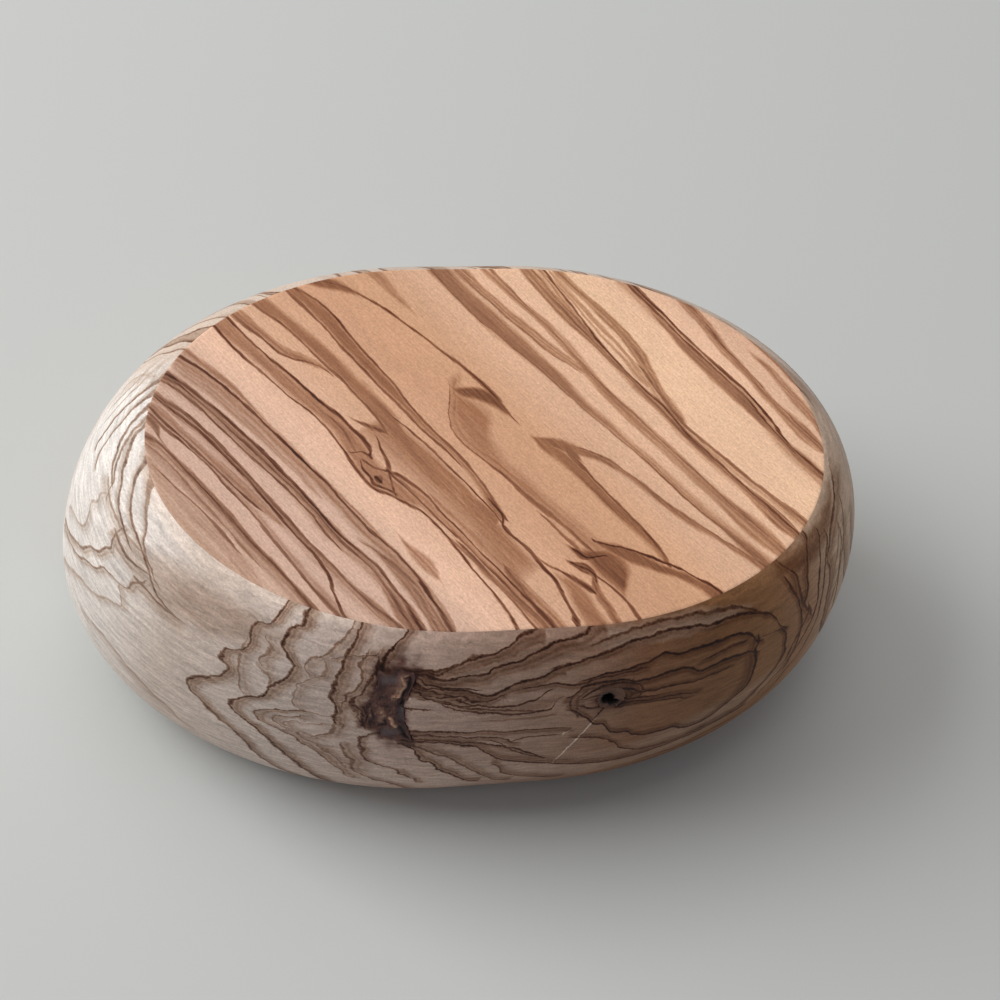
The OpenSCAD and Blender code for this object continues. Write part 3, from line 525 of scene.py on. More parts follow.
# These rise up the wall: height, distance round the wall, half width.
WALL_RISING = (
    (0.84, 3.3, (50, -50.2, 0.4), (47.5, -50.4, 0.5), (46, -53, 0.6), (44, -53, 0.5), (42, -52.3, 0.5),
     (40.6, -53.5, 0.6), (39.5, -56, 0.6), (37.5, -55.8, 0.6), (35.5, -54.3, 0.6), (33.5, -55, 0.5),
     (31.5, -57, 0.6), (29.8, -59, 0.6), (28, -59.8, 0.5), (26.5, -59, 0.5), (24.5, -56, 0.6), (22, -52.6, 0.7),
     (20, -49.8, 0.6), (17, -47.2, 0.6), (12, -43.5, 0.6), (4, -38, 0.5)),
    (0.9, 3.3, (50, -46, 0.6), (48.4, -44.6, 0.7), (47, -46.6, 0.7), (45, -46.8, 0.6), (43, -45.4, 0.6),
     (41, -43.6, 0.6), (39, -43.2, 0.6), (37, -44.5, 0.6), (35.5, -45.5, 0.5), (34, -46.3, 0.5),
     (32.5, -47.5, 0.6), (31.3, -49.3, 0.7), (30, -50.6, 0.6), (28.5, -51.3, 0.6), (27, -51.4, 0.6),
     (26, -50.2, 0.6), (24.5, -47.6, 0.6), (22.5, -44.5, 0.7), (20.5, -42.3, 0.7), (18, -40.5, 0.7),
     (15, -37.8, 0.8), (12, -35.5, 0.8), (8, -33, 0.7), (4, -31, 0.6)),
    (0.48, 3.3, (43, -53.4, 0.2), (40, -53.2, 0.5), (38, -52.6, 0.4), (36, -52.2, 0.4), (34, -51.3, 0.4),
     (32, -50.3, 0.3)),
    (0.54, 3.3, (39, -49.4, 0.3), (38.2, -47.4, 0.6), (37, -46.2, 0.5), (35.4, -45.8, 0.3)),
    (0.6, 3.3, (45, -50, 0.3), (43.5, -48.6, 0.6), (42, -48.4, 0.6), (40.5, -49.2, 0.4), (39.4, -48.4, 0.3)),
    (0.54, 3.3, (50, -36, 0.3), (48, -36.5, 0.4), (46, -38, 0.5), (44.5, -39.4, 0.5), (43, -41, 0.4),
     (41.8, -41.4, 0.3), (40.8, -40, 0.3)),
    (0.48, 3.3, (43.6, -38.6, 0.3), (42.4, -37.6, 0.5), (41, -37.8, 0.5), (40.2, -39, 0.4), (38, -41, 0.3),
     (35.4, -41.6, 0.3), (33, -40.6, 0.4), (31.8, -39.4, 0.3)),
    (0.9, 3.3, (50, -34.3, 0.4), (48, -34.6, 0.5), (46, -35, 0.6), (44, -34.5, 0.6), (42, -34.8, 0.6),
     (40, -35.3, 0.6), (38, -34.8, 0.6), (36, -34.8, 0.5), (35, -34, 0.5), (33.5, -33.6, 0.5), (32, -33.7, 0.5),
     (31, -33.4, 0.4)),
    (0.78, 3.3, (32.2, -33.6, 0.6), (31.8, -38, 1.0), (31, -42, 0.8), (30, -44.3, 0.6), (29, -46, 0.5),
     (28, -46.8, 0.5), (27, -46.3, 0.5), (26, -45, 0.6), (25, -41.6, 0.8), (24.3, -39.6, 0.7), (23, -37.5, 0.6),
     (21, -34.5, 0.6), (19, -32.6, 0.5), (14, -29, 0.4)),
    (0.6, 3.3, (29.8, -39.6, 0.6), (29, -43, 0.5), (28, -44, 0.4), (27, -43, 0.5), (26, -41, 0.4)),
    (0.54, 3.3, (29.3, -36, 0.6), (28.6, -40, 0.5), (27.6, -41.8, 0.4), (26.8, -40, 0.5), (26, -37, 0.4)),
    (0.6, 3.3, (30.4, -33.2, 0.4), (28.5, -33, 0.5), (27, -34, 0.6), (26, -36.6, 0.4)),
    (0.72, 3.3, (46.4, -31.4, 0.3), (44.5, -31.8, 0.5), (43, -31, 0.5), (41.5, -30.7, 0.5), (40, -31.5, 0.5),
     (38.5, -32.5, 0.5), (37, -32.2, 0.5), (35.6, -32.6, 0.4)),
    (0.9, 3.3, (46, -28.9, 0.4), (45, -28.6, 0.5), (43, -28.7, 0.5), (41, -29.3, 0.6), (39, -30.3, 0.6),
     (37, -31.3, 0.5), (35.5, -30.5, 0.6), (34, -29, 0.6), (32.5, -28.4, 0.5), (31, -28.2, 0.4)),
    (1, 3.3, (50.2, -24.6, 0.4), (49.4, -25.2, 0.5), (48, -26.6, 0.6), (46.6, -27.7, 0.7), (45.4, -28, 0.8),
     (44, -27.6, 0.8)),
    (0.78, 3.3, (46.6, -29.6, 0.4), (46, -32, 0.6), (45.2, -35, 0.5), (44.8, -37, 0.3)),
    (0.78, 1.8, (29.8, -25, 0.5), (28.7, -27.4, 0.6), (27.5, -28.3, 0.5), (26, -28, 0.5), (24.5, -27.2, 0.5),
     (23, -26.8, 0.5), (21.5, -26, 0.5), (20.5, -24.8, 0.6), (19.5, -22.6, 0.6), (18.5, -20.4, 0.5),
     (17, -18.9, 0.5), (15, -17, 0.5), (13.4, -15.8, 0.4)),
    (0.66, 3.3, (25, -31, 0.4), (22, -29.5, 0.5), (20, -28.5, 0.6), (18, -28, 0.6), (16, -27, 0.6),
     (14, -24.5, 0.7), (12.5, -22, 0.7), (10, -19.6, 0.7), (5, -16, 0.5)),
    (0.54, 3.3, (25.4, -38.6, 0.5), (23.5, -35, 0.6), (21.5, -32.5, 0.6), (20, -31, 0.5), (17.5, -29, 0.4)),
    (0.66, 2.7, (44, -86.2, 0.3), (42.5, -86.5, 0.5), (41, -86, 0.5), (40, -85.3, 0.5), (39, -86, 0.5),
     (38, -86.6, 0.5), (37, -87, 0.5), (36, -88, 0.6), (35, -89.5, 0.6), (34, -90.2, 0.5), (32.5, -91.2, 0.6),
     (31, -93.4, 0.7), (29.5, -95.6, 0.7), (28, -98, 0.7), (25, -102.5, 0.6)),
    (0.6, 2.7, (41, -75.4, 0.5), (40, -76.5, 0.6), (39, -77.4, 0.6), (38, -77.2, 0.5), (37, -78.6, 0.6),
     (36.4, -82, 0.8), (35.5, -84.3, 0.6), (34.5, -85, 0.5), (33.5, -86, 0.6), (32.5, -88, 0.6),
     (31.5, -89.5, 0.6), (30, -91, 0.7), (28.5, -94, 0.8), (27, -97, 0.8), (24, -102, 0.7)),
    (0.42, 2.7, (36.4, -79.4, 0.5), (35, -78, 0.5), (34, -77.2, 0.5), (33, -77, 0.5), (32, -79, 0.7),
     (31, -80.6, 0.7), (30, -81.6, 0.7), (29, -82.7, 0.8), (28, -85, 1.0), (27, -88, 1.0), (25, -91, 0.9),
     (22.5, -94, 0.9), (19, -98, 0.8)),
    (0.36, 2.7, (44, -94.6, 0.3), (42.6, -95.6, 0.5), (41, -95, 0.5), (39.6, -96, 0.6), (38, -94.6, 0.5),
     (36, -93.8, 0.5), (34.4, -95, 0.6), (32.6, -98, 0.6), (30, -102, 0.5)),
    (0.96, -3.6, (40, 47.4, 0.4), (38.8, 47.2, 0.5), (37.6, 46.2, 0.5), (36, 46.5, 0.5), (34, 46.8, 0.5),
     (32, 46.6, 0.5), (30, 46.2, 0.5), (28.5, 45.5, 0.5), (27, 44.5, 0.5), (25.4, 42, 0.4)),
    (0.9, -1.4, (39.4, 49.6, 0.3), (39.1, 52, 0.6), (37.4, 54, 0.5), (35, 54.6, 0.5), (33, 54.6, 0.5),
     (31.5, 55, 0.5), (29, 54, 0.5), (26, 51.6, 0.5), (23, 49, 0.4)),
    (0.8, -1.4, (47, 57.4, 0.4), (43, 58.8, 0.5), (40, 59.2, 0.5), (37, 59.5, 0.5), (34, 59.3, 0.5),
     (30, 58.5, 0.5), (25, 57, 0.4)),
    (0.78, -2.4, (49.4, 58.6, 0.4), (47, 60.3, 0.5), (44.5, 60, 0.5), (42, 60, 0.6), (40.5, 60.3, 0.7),
     (39, 61, 0.6), (37.5, 61.8, 0.6), (35, 62.6, 0.3)),
    (0.9, -2.4, (49.6, 69, 0.6), (48.2, 66.8, 0.8), (47, 64.8, 0.7), (45.4, 63.4, 0.6), (43.6, 62.6, 0.6),
     (42, 61.8, 0.6), (40.4, 60.8, 0.5)),
    (0.72, 3.6, (44.4, 70.8, 0.4), (42, 70.2, 0.5), (40, 70, 0.6), (38, 69.5, 0.6), (35, 68.5, 0.6),
     (31, 68, 0.7), (27, 68.3, 0.7), (22, 70, 0.7), (18, 73.5, 0.7), (15.4, 77, 0.6)),
    (0.65, 0, (47.5, 85, 0.3), (44, 80.4, 0.45), (40.6, 76.8, 0.5), (37, 74, 0.5), (33, 71.5, 0.5),
     (26.2, 69.5, 0.5), (20, 71.5, 0.4)),
    (0.5, 0, (46, 79, 0.3), (42, 74.6, 0.5), (38, 71.2, 0.5), (34, 69.6, 0.4), (28, 69.4, 0.4)),
    (0.8, 0, (44, 78.1, 0.3), (39.7, 75.1, 0.4), (33.7, 73.4, 0.4), (25.6, 73.1, 0.3)),
    (0.85, 0, (48.5, 72.3, 0.3), (45.4, 68.6, 0.4), (41.1, 65.8, 0.45), (35.6, 63.8, 0.45), (31.2, 60.9, 0.45),
     (27.6, 57.7, 0.4), (24.4, 54, 0.4), (21.4, 50.8, 0.3)),
    (0.8, 0, (47.5, 73.8, 0.3), (43.4, 69.6, 0.4), (38.7, 66.9, 0.4), (32.8, 65.1, 0.4), (27.8, 62.7, 0.4),
     (24.4, 59.9, 0.4), (20.9, 56.1, 0.3)),
    (0.8, 0, (38.6, 62, 0.3), (34, 59.6, 0.4), (30.8, 56.9, 0.4), (27.1, 55.5, 0.4), (25.2, 51.7, 0.4),
     (22.7, 48.3, 0.4), (19.9, 46, 0.3)),
    (0.6, 3.6, (44, 79.6, 0.3), (40, 77.6, 0.5), (34, 77, 0.5), (30, 78, 0.6), (26, 80, 0.6), (22, 84.4, 0.5)),
    (0.55, 3.6, (42, 84.6, 0.3), (38, 82.4, 0.5), (33, 82.5, 0.5), (28, 84.5, 0.6), (24.4, 88.6, 0.5)),
    (0.72, 1.8, (40.6, 10.2, 0.4), (39.5, 8.8, 0.5), (38, 8, 0.4), (36.5, 7.9, 0.4), (35, 8.3, 0.4),
     (33.8, 9.7, 0.4)),
    (0.6, 1.8, (39.6, 10.6, 0.4), (38, 9.2, 0.4), (36.5, 9, 0.4), (35, 9.5, 0.3)),
    (0.66, -3.6, (40, 19.6, 0.4), (38.6, 21.2, 0.4), (37, 21.6, 0.4), (36, 21, 0.4), (35.2, 19, 0.4)),
    (0.84, 0, (36.4, 15, 0.3), (34, 14, 0.35), (32.2, 13.2, 0.2)),
    (0.6, -3.6, (38.4, 18.6, 0.3), (37.4, 19.6, 0.4), (36.2, 19.2, 0.4)),
    (0.7, -1.5, (36.1, -31.4, 0.3), (34, -29.9, 0.4), (31, -28, 0.3)),
    (0.75, 1.2, (35.8, -29.5, 0.3), (33.6, -27.8, 0.4), (32, -26.9, 0.3)),
    (0.65, 0, (36.3, -34.6, 0.3), (34.3, -32.7, 0.4), (32.2, -33.5, 0.35), (30.1, -31.6, 0.3)),
)
# The pale hairline scratch under the small knot, rising up the wall.
SCRATCH = (
    (0.95, 0, (32.5, 13.4, 0.12), (30.5, 12.6, 0.24), (28, 11.6, 0.22), (25, 10.2, 0.22), (22, 9.1, 0.2),
     (18.6, 8, 0.1)),
    (0.7, 0, (29.9, 9.9, 0.12), (29.2, 8.8, 0.3), (28.6, 7.9, 0.2)),
)
# Painted light, which runs round the wall: a painted highlight along the foot's edge at the left and under that edge
# at the right, and painted light low on the front.
PAINTED_WALL_LIGHT = (
    (0.6, 0, (-98, 50, 0.3), (-90, 49.7, 0.7), (-75, 49.6, 0.9), (-58, 49.6, 0.9), (-44, 49.8, 0.6),
     (-30, 50, 0.3)),
    (0.24, 0, (6, 48.6, 0.6), (14, 48.2, 1.6), (24, 48.2, 1.8), (34, 48, 1.9), (42, 47.4, 1.2), (47, 47, 0.4)),
    (0.16, 0, (-30, 17, 2), (-14, 18, 6), (0, 16, 6), (16, 16, 6.5), (30, 19, 7), (42, 22, 6), (52, 25, 4),
     (58, 27, 1)),
    (0.24, 0, (-34, 12, 2), (-24, 14, 5), (-14, 13, 6), (-8, 11, 4), (-2, 9, 1)),
)


def soft_step(value, low, high):
    """0 below low, 1 above high, smooth between."""
    t = np.clip((value - low) / (high - low), 0, 1)
    return t * t * (3 - 2 * t)


# So many plane waves make a noise.
WAVES = 14


def waves(points, size, seed):
    """Smooth noise between about -1 and 1 at points in millimetres, with swells of about the given size."""
    chance = np.random.default_rng(seed)
    directions = chance.normal(size=(WAVES, 3)) * (2.4 / size)
    phases = chance.uniform(0, 2 * math.pi, WAVES)
    return np.cos(points @ directions.T + phases).sum(axis=1) / math.sqrt(WAVES)


def around_wall(form, x, y):
    """Distance round the wall from the middle of its front, in millimetres, positive to the right."""
    half, straight = form.half_width / MM, form.straight / MM
    past = np.maximum(np.abs(x) - straight / 2, 0) / form.end_share
    turn = np.arctan2(past, -y)
    samples = np.linspace(0, math.pi, 361)
    pace = np.hypot(form.end_share * half * np.cos(samples), half * np.sin(samples))
    run = np.concatenate(((0,), np.cumsum((pace[1:] + pace[:-1]) / 2 * (samples[1] - samples[0]))))
    along = np.where(np.abs(x) < straight / 2, np.where(y < 0, np.abs(x), run[-1] + straight - np.abs(x)),
                     np.interp(turn, samples, run) + straight / 2)
    return np.where(x < 0, -along, along)


# Materials

# The kinds of node that are used most, and the sockets of a mix node: its factor, two numbers and two colours.
MATH, VECTOR_MATH, MAP_RANGE = "ShaderNodeMath", "ShaderNodeVectorMath", "ShaderNodeMapRange"
RAMP, MIX, ATTRIBUTE = "ShaderNodeValToRGB", "ShaderNodeMix", "ShaderNodeAttribute"
FACTOR, NUMBER_A, NUMBER_B, COLOUR_A, COLOUR_B = 0, 2, 3, 6, 7
MIXED_COLOUR = 2


def set_inputs(node, inputs):
    """Sets or links the inputs of a node."""
    for name, value in inputs.items():
        if isinstance(value, bpy.types.NodeSocket):
            node.id_data.links.new(value, node.inputs[name])
        else:
            node.inputs[name].default_value = value


def add_node(tree, kind, inputs=None, output=0, **settings):
    """Adds a node with its settings and inputs, and gives one of its outputs."""
    node = tree.nodes.new(kind)
    for name, value in settings.items():
        setattr(node, name, value)
    set_inputs(node, inputs or {})
    return node.outputs[output]


def set_ramp(tone, stops, low=0, high=1):
    """Fills the ramp that gives a tone from (place, colour) stops, which lie between low and high."""
    elements = tone.node.color_ramp.elements
    elements.remove(elements[-1])
    first, *rest = [((at - low) / (high - low), (*tint, 1)) for at, tint in stops]
    elements[0].position, elements[0].color = first
    for position, tint in rest:
        elements.new(position).color = tint
    return tone


def set_curve(value, axis, points):
    """Draws one curve of the curve node that gives a value through points."""
    mapping = value.node.mapping
    curve = mapping.curves[axis]
    curve.points[0].location, curve.points[1].location = points[0], points[-1]
    for point in points[1:-1]:
        curve.points.new(*point)
    mapping.use_clip = False
    mapping.update()


def new_material(name):
    """A node material with its tree and shader."""
    material = bpy.data.materials.new(name)
    material.use_nodes = True
    tree = material.node_tree
    return material, tree, tree.nodes["Principled BSDF"]


# A drawn line runs out over this length at its ends, in millimetres, and its edges fade over this share of its width.
TAPER, SOFT_EDGE = 1.2, 0.5
# The shade beside a line: its depth as a share of the line's, the half width in millimetres at which the line throws
# its whole shade, how fast the shade falls off and how fast it sets in.
SHADE_DEPTH, SHADE_HALF, SHADE_FALL, SHADE_START = 0.58, 0.2, 1.6, 8
# Fine lines run beside each drawn line, this far apart in millimetres, but not in broad bands or broad shades.
RIPPLES, RIPPLE_DEPTH, BROAD_BAND, BROAD_SHADE = (0.75, 0.95, 1.2), 0.17, 1.6, 4


def draw_rows(rows, places, halves, run_span, across_span):
    """Draws up to three rows of a table into two curve nodes, one for places and one for half widths. Gives their
    depths, the slopes of their edges, the pace of their fine lines and of their shades."""
    (run_low, run_high), (low, high) = run_span, across_span
    unit = 2 / (high - low)
    depths, slopes, ripples, shades = (Vector() for _ in range(4))
    for axis, (depth, shade, *points) in enumerate(rows):
        points = sorted(points)
        ends = ((points[0][0] - TAPER, points[0][1], 0), (points[-1][0] + TAPER, points[-1][1], 0))
        knots = [(2 * (at - run_low) / (run_high - run_low) - 1, (off - low) * unit - 1, half * unit)
                 for at, off, half in (ends[0], *points, ends[1])]
        set_curve(places, axis, [(at, off) for at, off, _ in knots])
        set_curve(halves, axis, [(at, half) for at, _, half in knots])
        widest = max(half for _, _, half in points)
        depths[axis] = depth
        slopes[axis] = depth / (SOFT_EDGE * widest * unit)
        if widest < BROAD_BAND and abs(shade) < BROAD_SHADE:
            ripples[axis] = 2 * math.pi / (RIPPLES[axis] * unit)
        if shade:
            shades[axis] = 1 / (shade * unit)
    for axis in range(len(rows), 3):
        set_curve(halves, axis, [(-1, 0), (1, 0)])
    return depths, slopes, ripples, shades


def figure_lines(tree, table, run, run_span, across, across_span):
    """How dark drawn lines make the wood. A curve node draws three at once, one in each of its curves: a first node
    holds their places across the run, a second their half widths."""
    scaled = []
    for value, (low, high) in ((run, run_span), (across, across_span)):
        value = add_node(tree, MAP_RANGE, {"Value": value, "From Min": low, "From Max": high, "To Min": -1.0},
                         clamp=False)
        scaled.append(add_node(tree, "ShaderNodeCombineXYZ", {0: value, 1: value, 2: value}))
    unit = 2 / (across_span[1] - across_span[0])
    dark = (0.0, 0.0, 0.0)
    for first in range(0, len(table), 3):
        places, halves = (add_node(tree, "ShaderNodeVectorCurve", {"Vector": scaled[0]}) for _ in range(2))
        rows = table[first:first + 3]
        depths, slopes, ripples, shades = draw_rows(rows, places, halves, run_span, across_span)
        off = add_node(tree, VECTOR_MATH, {0: scaled[1], 1: places}, operation="SUBTRACT")
        distance = add_node(tree, VECTOR_MATH, {0: off}, operation="ABSOLUTE")
        inside = add_node(tree, VECTOR_MATH, {0: halves, 1: distance}, operation="SUBTRACT")
        ripple = add_node(tree, VECTOR_MATH, {0: off, 1: ripples}, operation="MULTIPLY")
        ripple = add_node(tree, VECTOR_MATH, {0: ripple}, operation="COSINE")
        ripple = add_node(tree, VECTOR_MATH, {0: ripple, 1: [RIPPLE_DEPTH] * 3, 2: [1 - RIPPLE_DEPTH] * 3},
                          operation="MULTIPLY_ADD")
        edge = add_node(tree, VECTOR_MATH, {0: inside, 1: slopes}, operation="MULTIPLY")
        middle = add_node(tree, VECTOR_MATH, {0: depths, 1: ripple}, operation="MULTIPLY")
        mask = add_node(tree, VECTOR_MATH, {0: edge, 1: middle}, operation="MINIMUM")
        dark = add_node(tree, VECTOR_MATH, {0: dark, 1: mask}, operation="MAXIMUM")
        if not any(shades):
            continue
        fall = add_node(tree, VECTOR_MATH, {0: off, 1: shades}, operation="MULTIPLY")
        strength = add_node(tree, VECTOR_MATH, {0: halves, 1: [1 / (SHADE_HALF * unit)] * 3}, operation="MULTIPLY")
        start = add_node(tree, VECTOR_MATH, {0: fall, 1: [SHADE_START] * 3}, operation="MULTIPLY")
        fade = add_node(tree, VECTOR_MATH, {0: fall, 1: [-SHADE_FALL] * 3, 2: [SHADE_FALL] * 3},
                        operation="MULTIPLY_ADD")
        for most in (strength, (1, 1, 1), start):
            fade = add_node(tree, VECTOR_MATH, {0: fade, 1: most}, operation="MINIMUM")
        for share in (depths * SHADE_DEPTH, ripple):
            fade = add_node(tree, VECTOR_MATH, {0: fade, 1: share}, operation="MULTIPLY")
        dark = add_node(tree, VECTOR_MATH, {0: dark, 1: fade}, operation="MAXIMUM")
    first, second, third = add_node(tree, "ShaderNodeSeparateXYZ", {0: dark}).node.outputs
    most = add_node(tree, MATH, {0: first, 1: second}, operation="MAXIMUM")
    return add_node(tree, MATH, {0: most, 1: third}, operation="MAXIMUM")


class Grain:
    """Coordinates and noises of one wood material, in millimetres along the grain."""

    def __init__(self, tree):
        self.tree = tree
        turn = math.atan2(GRAIN_ALONG[1], GRAIN_ALONG[0])
        self.place = add_node(tree, "ShaderNodeTexCoord", output="Object")
        self.turned = add_node(tree, "ShaderNodeMapping", {"Vector": self.place, "Rotation": (0, 0, turn)},
                               vector_type="TEXTURE")

    def noise(self, along, across, detail, rough, low, high, place=None):
        """Noise from low to high, with swells of these lengths along and across the grain or another place's axes."""
        size = (1 / (along * MM), 1 / (across * MM), 1 / (across * MM))
        place = add_node(self.tree, VECTOR_MATH, {0: place or self.turned, 1: size}, operation="MULTIPLY")
        value = add_node(self.tree, "ShaderNodeTexNoise",
                         {"Vector": place, "Scale": 1.0, "Detail": detail, "Roughness": rough})
        return add_node(self.tree, MAP_RANGE,
                        {"Value": value, "From Min": 0.25, "From Max": 0.75, "To Min": low, "To Max": high})

    def finish(self, shader, base, dark, fibre, colours):
        """Colours the wood by its darkness and adds fibres, specks, the stain of the knots and a sanded surface."""
        tree = self.tree
        pale, tan, line, darkest = (np.array(getattr(colours, name)) for name in ("pale", "tan", "line", "darkest"))
        for vary in (self.noise(16, 1.6, 3, 0.6, 0.77, 1.1), self.noise(14, 0.5, 2, 0.6, 0.78, 1.2)):
            dark = add_node(tree, MATH, {0: dark, 1: vary}, operation="MULTIPLY")
        tint = set_ramp(add_node(tree, RAMP, {"Fac": dark}),
                        [(0, (1, 1, 1)), (0.4, tan / pale), (0.8, line / pale), (1, darkest / pale)])
        cloud = self.noise(26, 7, 2, 0.5, 0.94, 1.05)
        speck = self.noise(0.6, 0.35, 3, 0.75, 0.74, 1.2)
        layers = [(1.0, tint)]
        for shade in (fibre, cloud, speck):
            layers.append((1.0, add_node(tree, "ShaderNodeCombineColor", {0: shade, 1: shade, 2: shade})))
        layers.append((add_node(tree, ATTRIBUTE, output="Fac", attribute_name="stain"), (*colours.knot, 1)))
        wood = base
        for share, tone in layers:
            wood = add_node(tree, MIX, {FACTOR: share, COLOUR_A: wood, COLOUR_B: tone}, MIXED_COLOUR,
                            data_type="RGBA", blend_type="MULTIPLY")
        bump = add_node(tree, "ShaderNodeBump", {"Height": fibre, "Strength": 0.3, "Distance": 0.3 * MM})
        set_inputs(shader, {"Base Color": wood, "Roughness": 0.55, "IOR": 1.45, "Specular IOR Level": 0.25,
                            "Normal": bump})


# Colours of the foot's wood between its lines, by their place across the grain.
FOOT_BASE = ((-56, "#D1AE97"), (-45, "#D8B4A0"), (-33, "#DDB8A2"), (-27, "#F1C6AA"), (-16, "#DEB090"),
             (-3, "#D6A482"), (6, "#D9A884"), (14, "#E2B595"), (28, "#F2C6A5"), (38, "#F8CEAA"), (48, "#F2C6A6"),
             (56, "#E2B698"))


def foot_wood(colours):
    """Olive wood cut across its growth layers and sanded flat: pale and tan layers with dark fine lines, close to
    matte."""
    material, tree, shader = new_material("olive wood, sanded flat")
    grain = Grain(tree)
    low, high = FOOT_SPAN
    waver = grain.noise(8, 1.8, 3, 0.6, -0.35, 0.35)
    along, across = (add_node(tree, ATTRIBUTE, output="Fac", attribute_name=name) for name in ("along", "across"))
    across = add_node(tree, MATH, {0: across, 1: waver}, operation="ADD")
    fac = add_node(tree, MAP_RANGE, {"Value": across, "From Min": low, "From Max": high})
    base = set_ramp(add_node(tree, RAMP, {"Fac": fac}), [(at, linear(tone)) for at, tone in FOOT_BASE], low, high)
    bands, lines = (figure_lines(tree, table, along, FOOT_SPAN, across, FOOT_SPAN)
                    for table in (FOOT_BANDS, FOOT_LINES))
    fibre = grain.noise(3, 0.3, 3, 0.7, 0.86, 1.12)
    dark = add_node(tree, MATH, {0: bands, 1: lines}, operation="MAXIMUM")
    grain.finish(shader, base, dark, fibre, colours)
    return material


# Colours of the wall's wood between its lines, by their place round the wall, and of its scratch, its painted light
# and its back.
# Whiter at the left end partly as painted window light, and darker on the front right partly as painted shade.
WALL_TONE_AND_PAINTED_LIGHT = ((-106, "#E3DCD5"), (-80, "#DFD4CB"), (-66, "#D4C1B3"), (-45, "#DCC9BD"), (-20, "#C9AC9C"),
             (6, "#AC8A76"), (22, "#906548"), (38, "#875D3B"), (52, "#996D48"), (62, "#A97D5C"), (74, "#CBAD93"),
             (100, "#D6BDA8"))
# The pale tone serves the scratch and the painted highlight and painted light of the wall.
PALE_SCRATCH_AND_LIGHT, BACK_WALL = "#F0DCCB", "#D2BFAF"
# How much the drawn lines of the wall waver: most in the zigzags left of the bark knot.
WALL_SWAY = ((-110, 0.4), (-66, 0.45), (-56, 1), (-20, 1), (4, 0.55), (105, 0.5))
# Growth layers of the back and the hollow: place and darkness, repeated after so many millimetres.
LAYER_REPEAT = 34
BACK_LAYERS = ((0, 0.1), (2, 0), (2.6, 0.8), (3, 0.1), (5, 0), (5.4, 0.85), (6.2, 0.34), (8, 0.3), (8.4, 0.8),
               (8.9, 0), (12.5, 0), (13, 0.7), (13.4, 0.2), (14.6, 0), (17, 0.1), (17.4, 0.9), (18, 0.34),
               (20.6, 0.26), (21.2, 0), (24, 0), (24.4, 0.7), (24.8, 0), (26, 0.1), (26.3, 0.7), (27.6, 0.32),
               (28.4, 0.85), (28.8, 0), (33, 0), (34, 0.1))


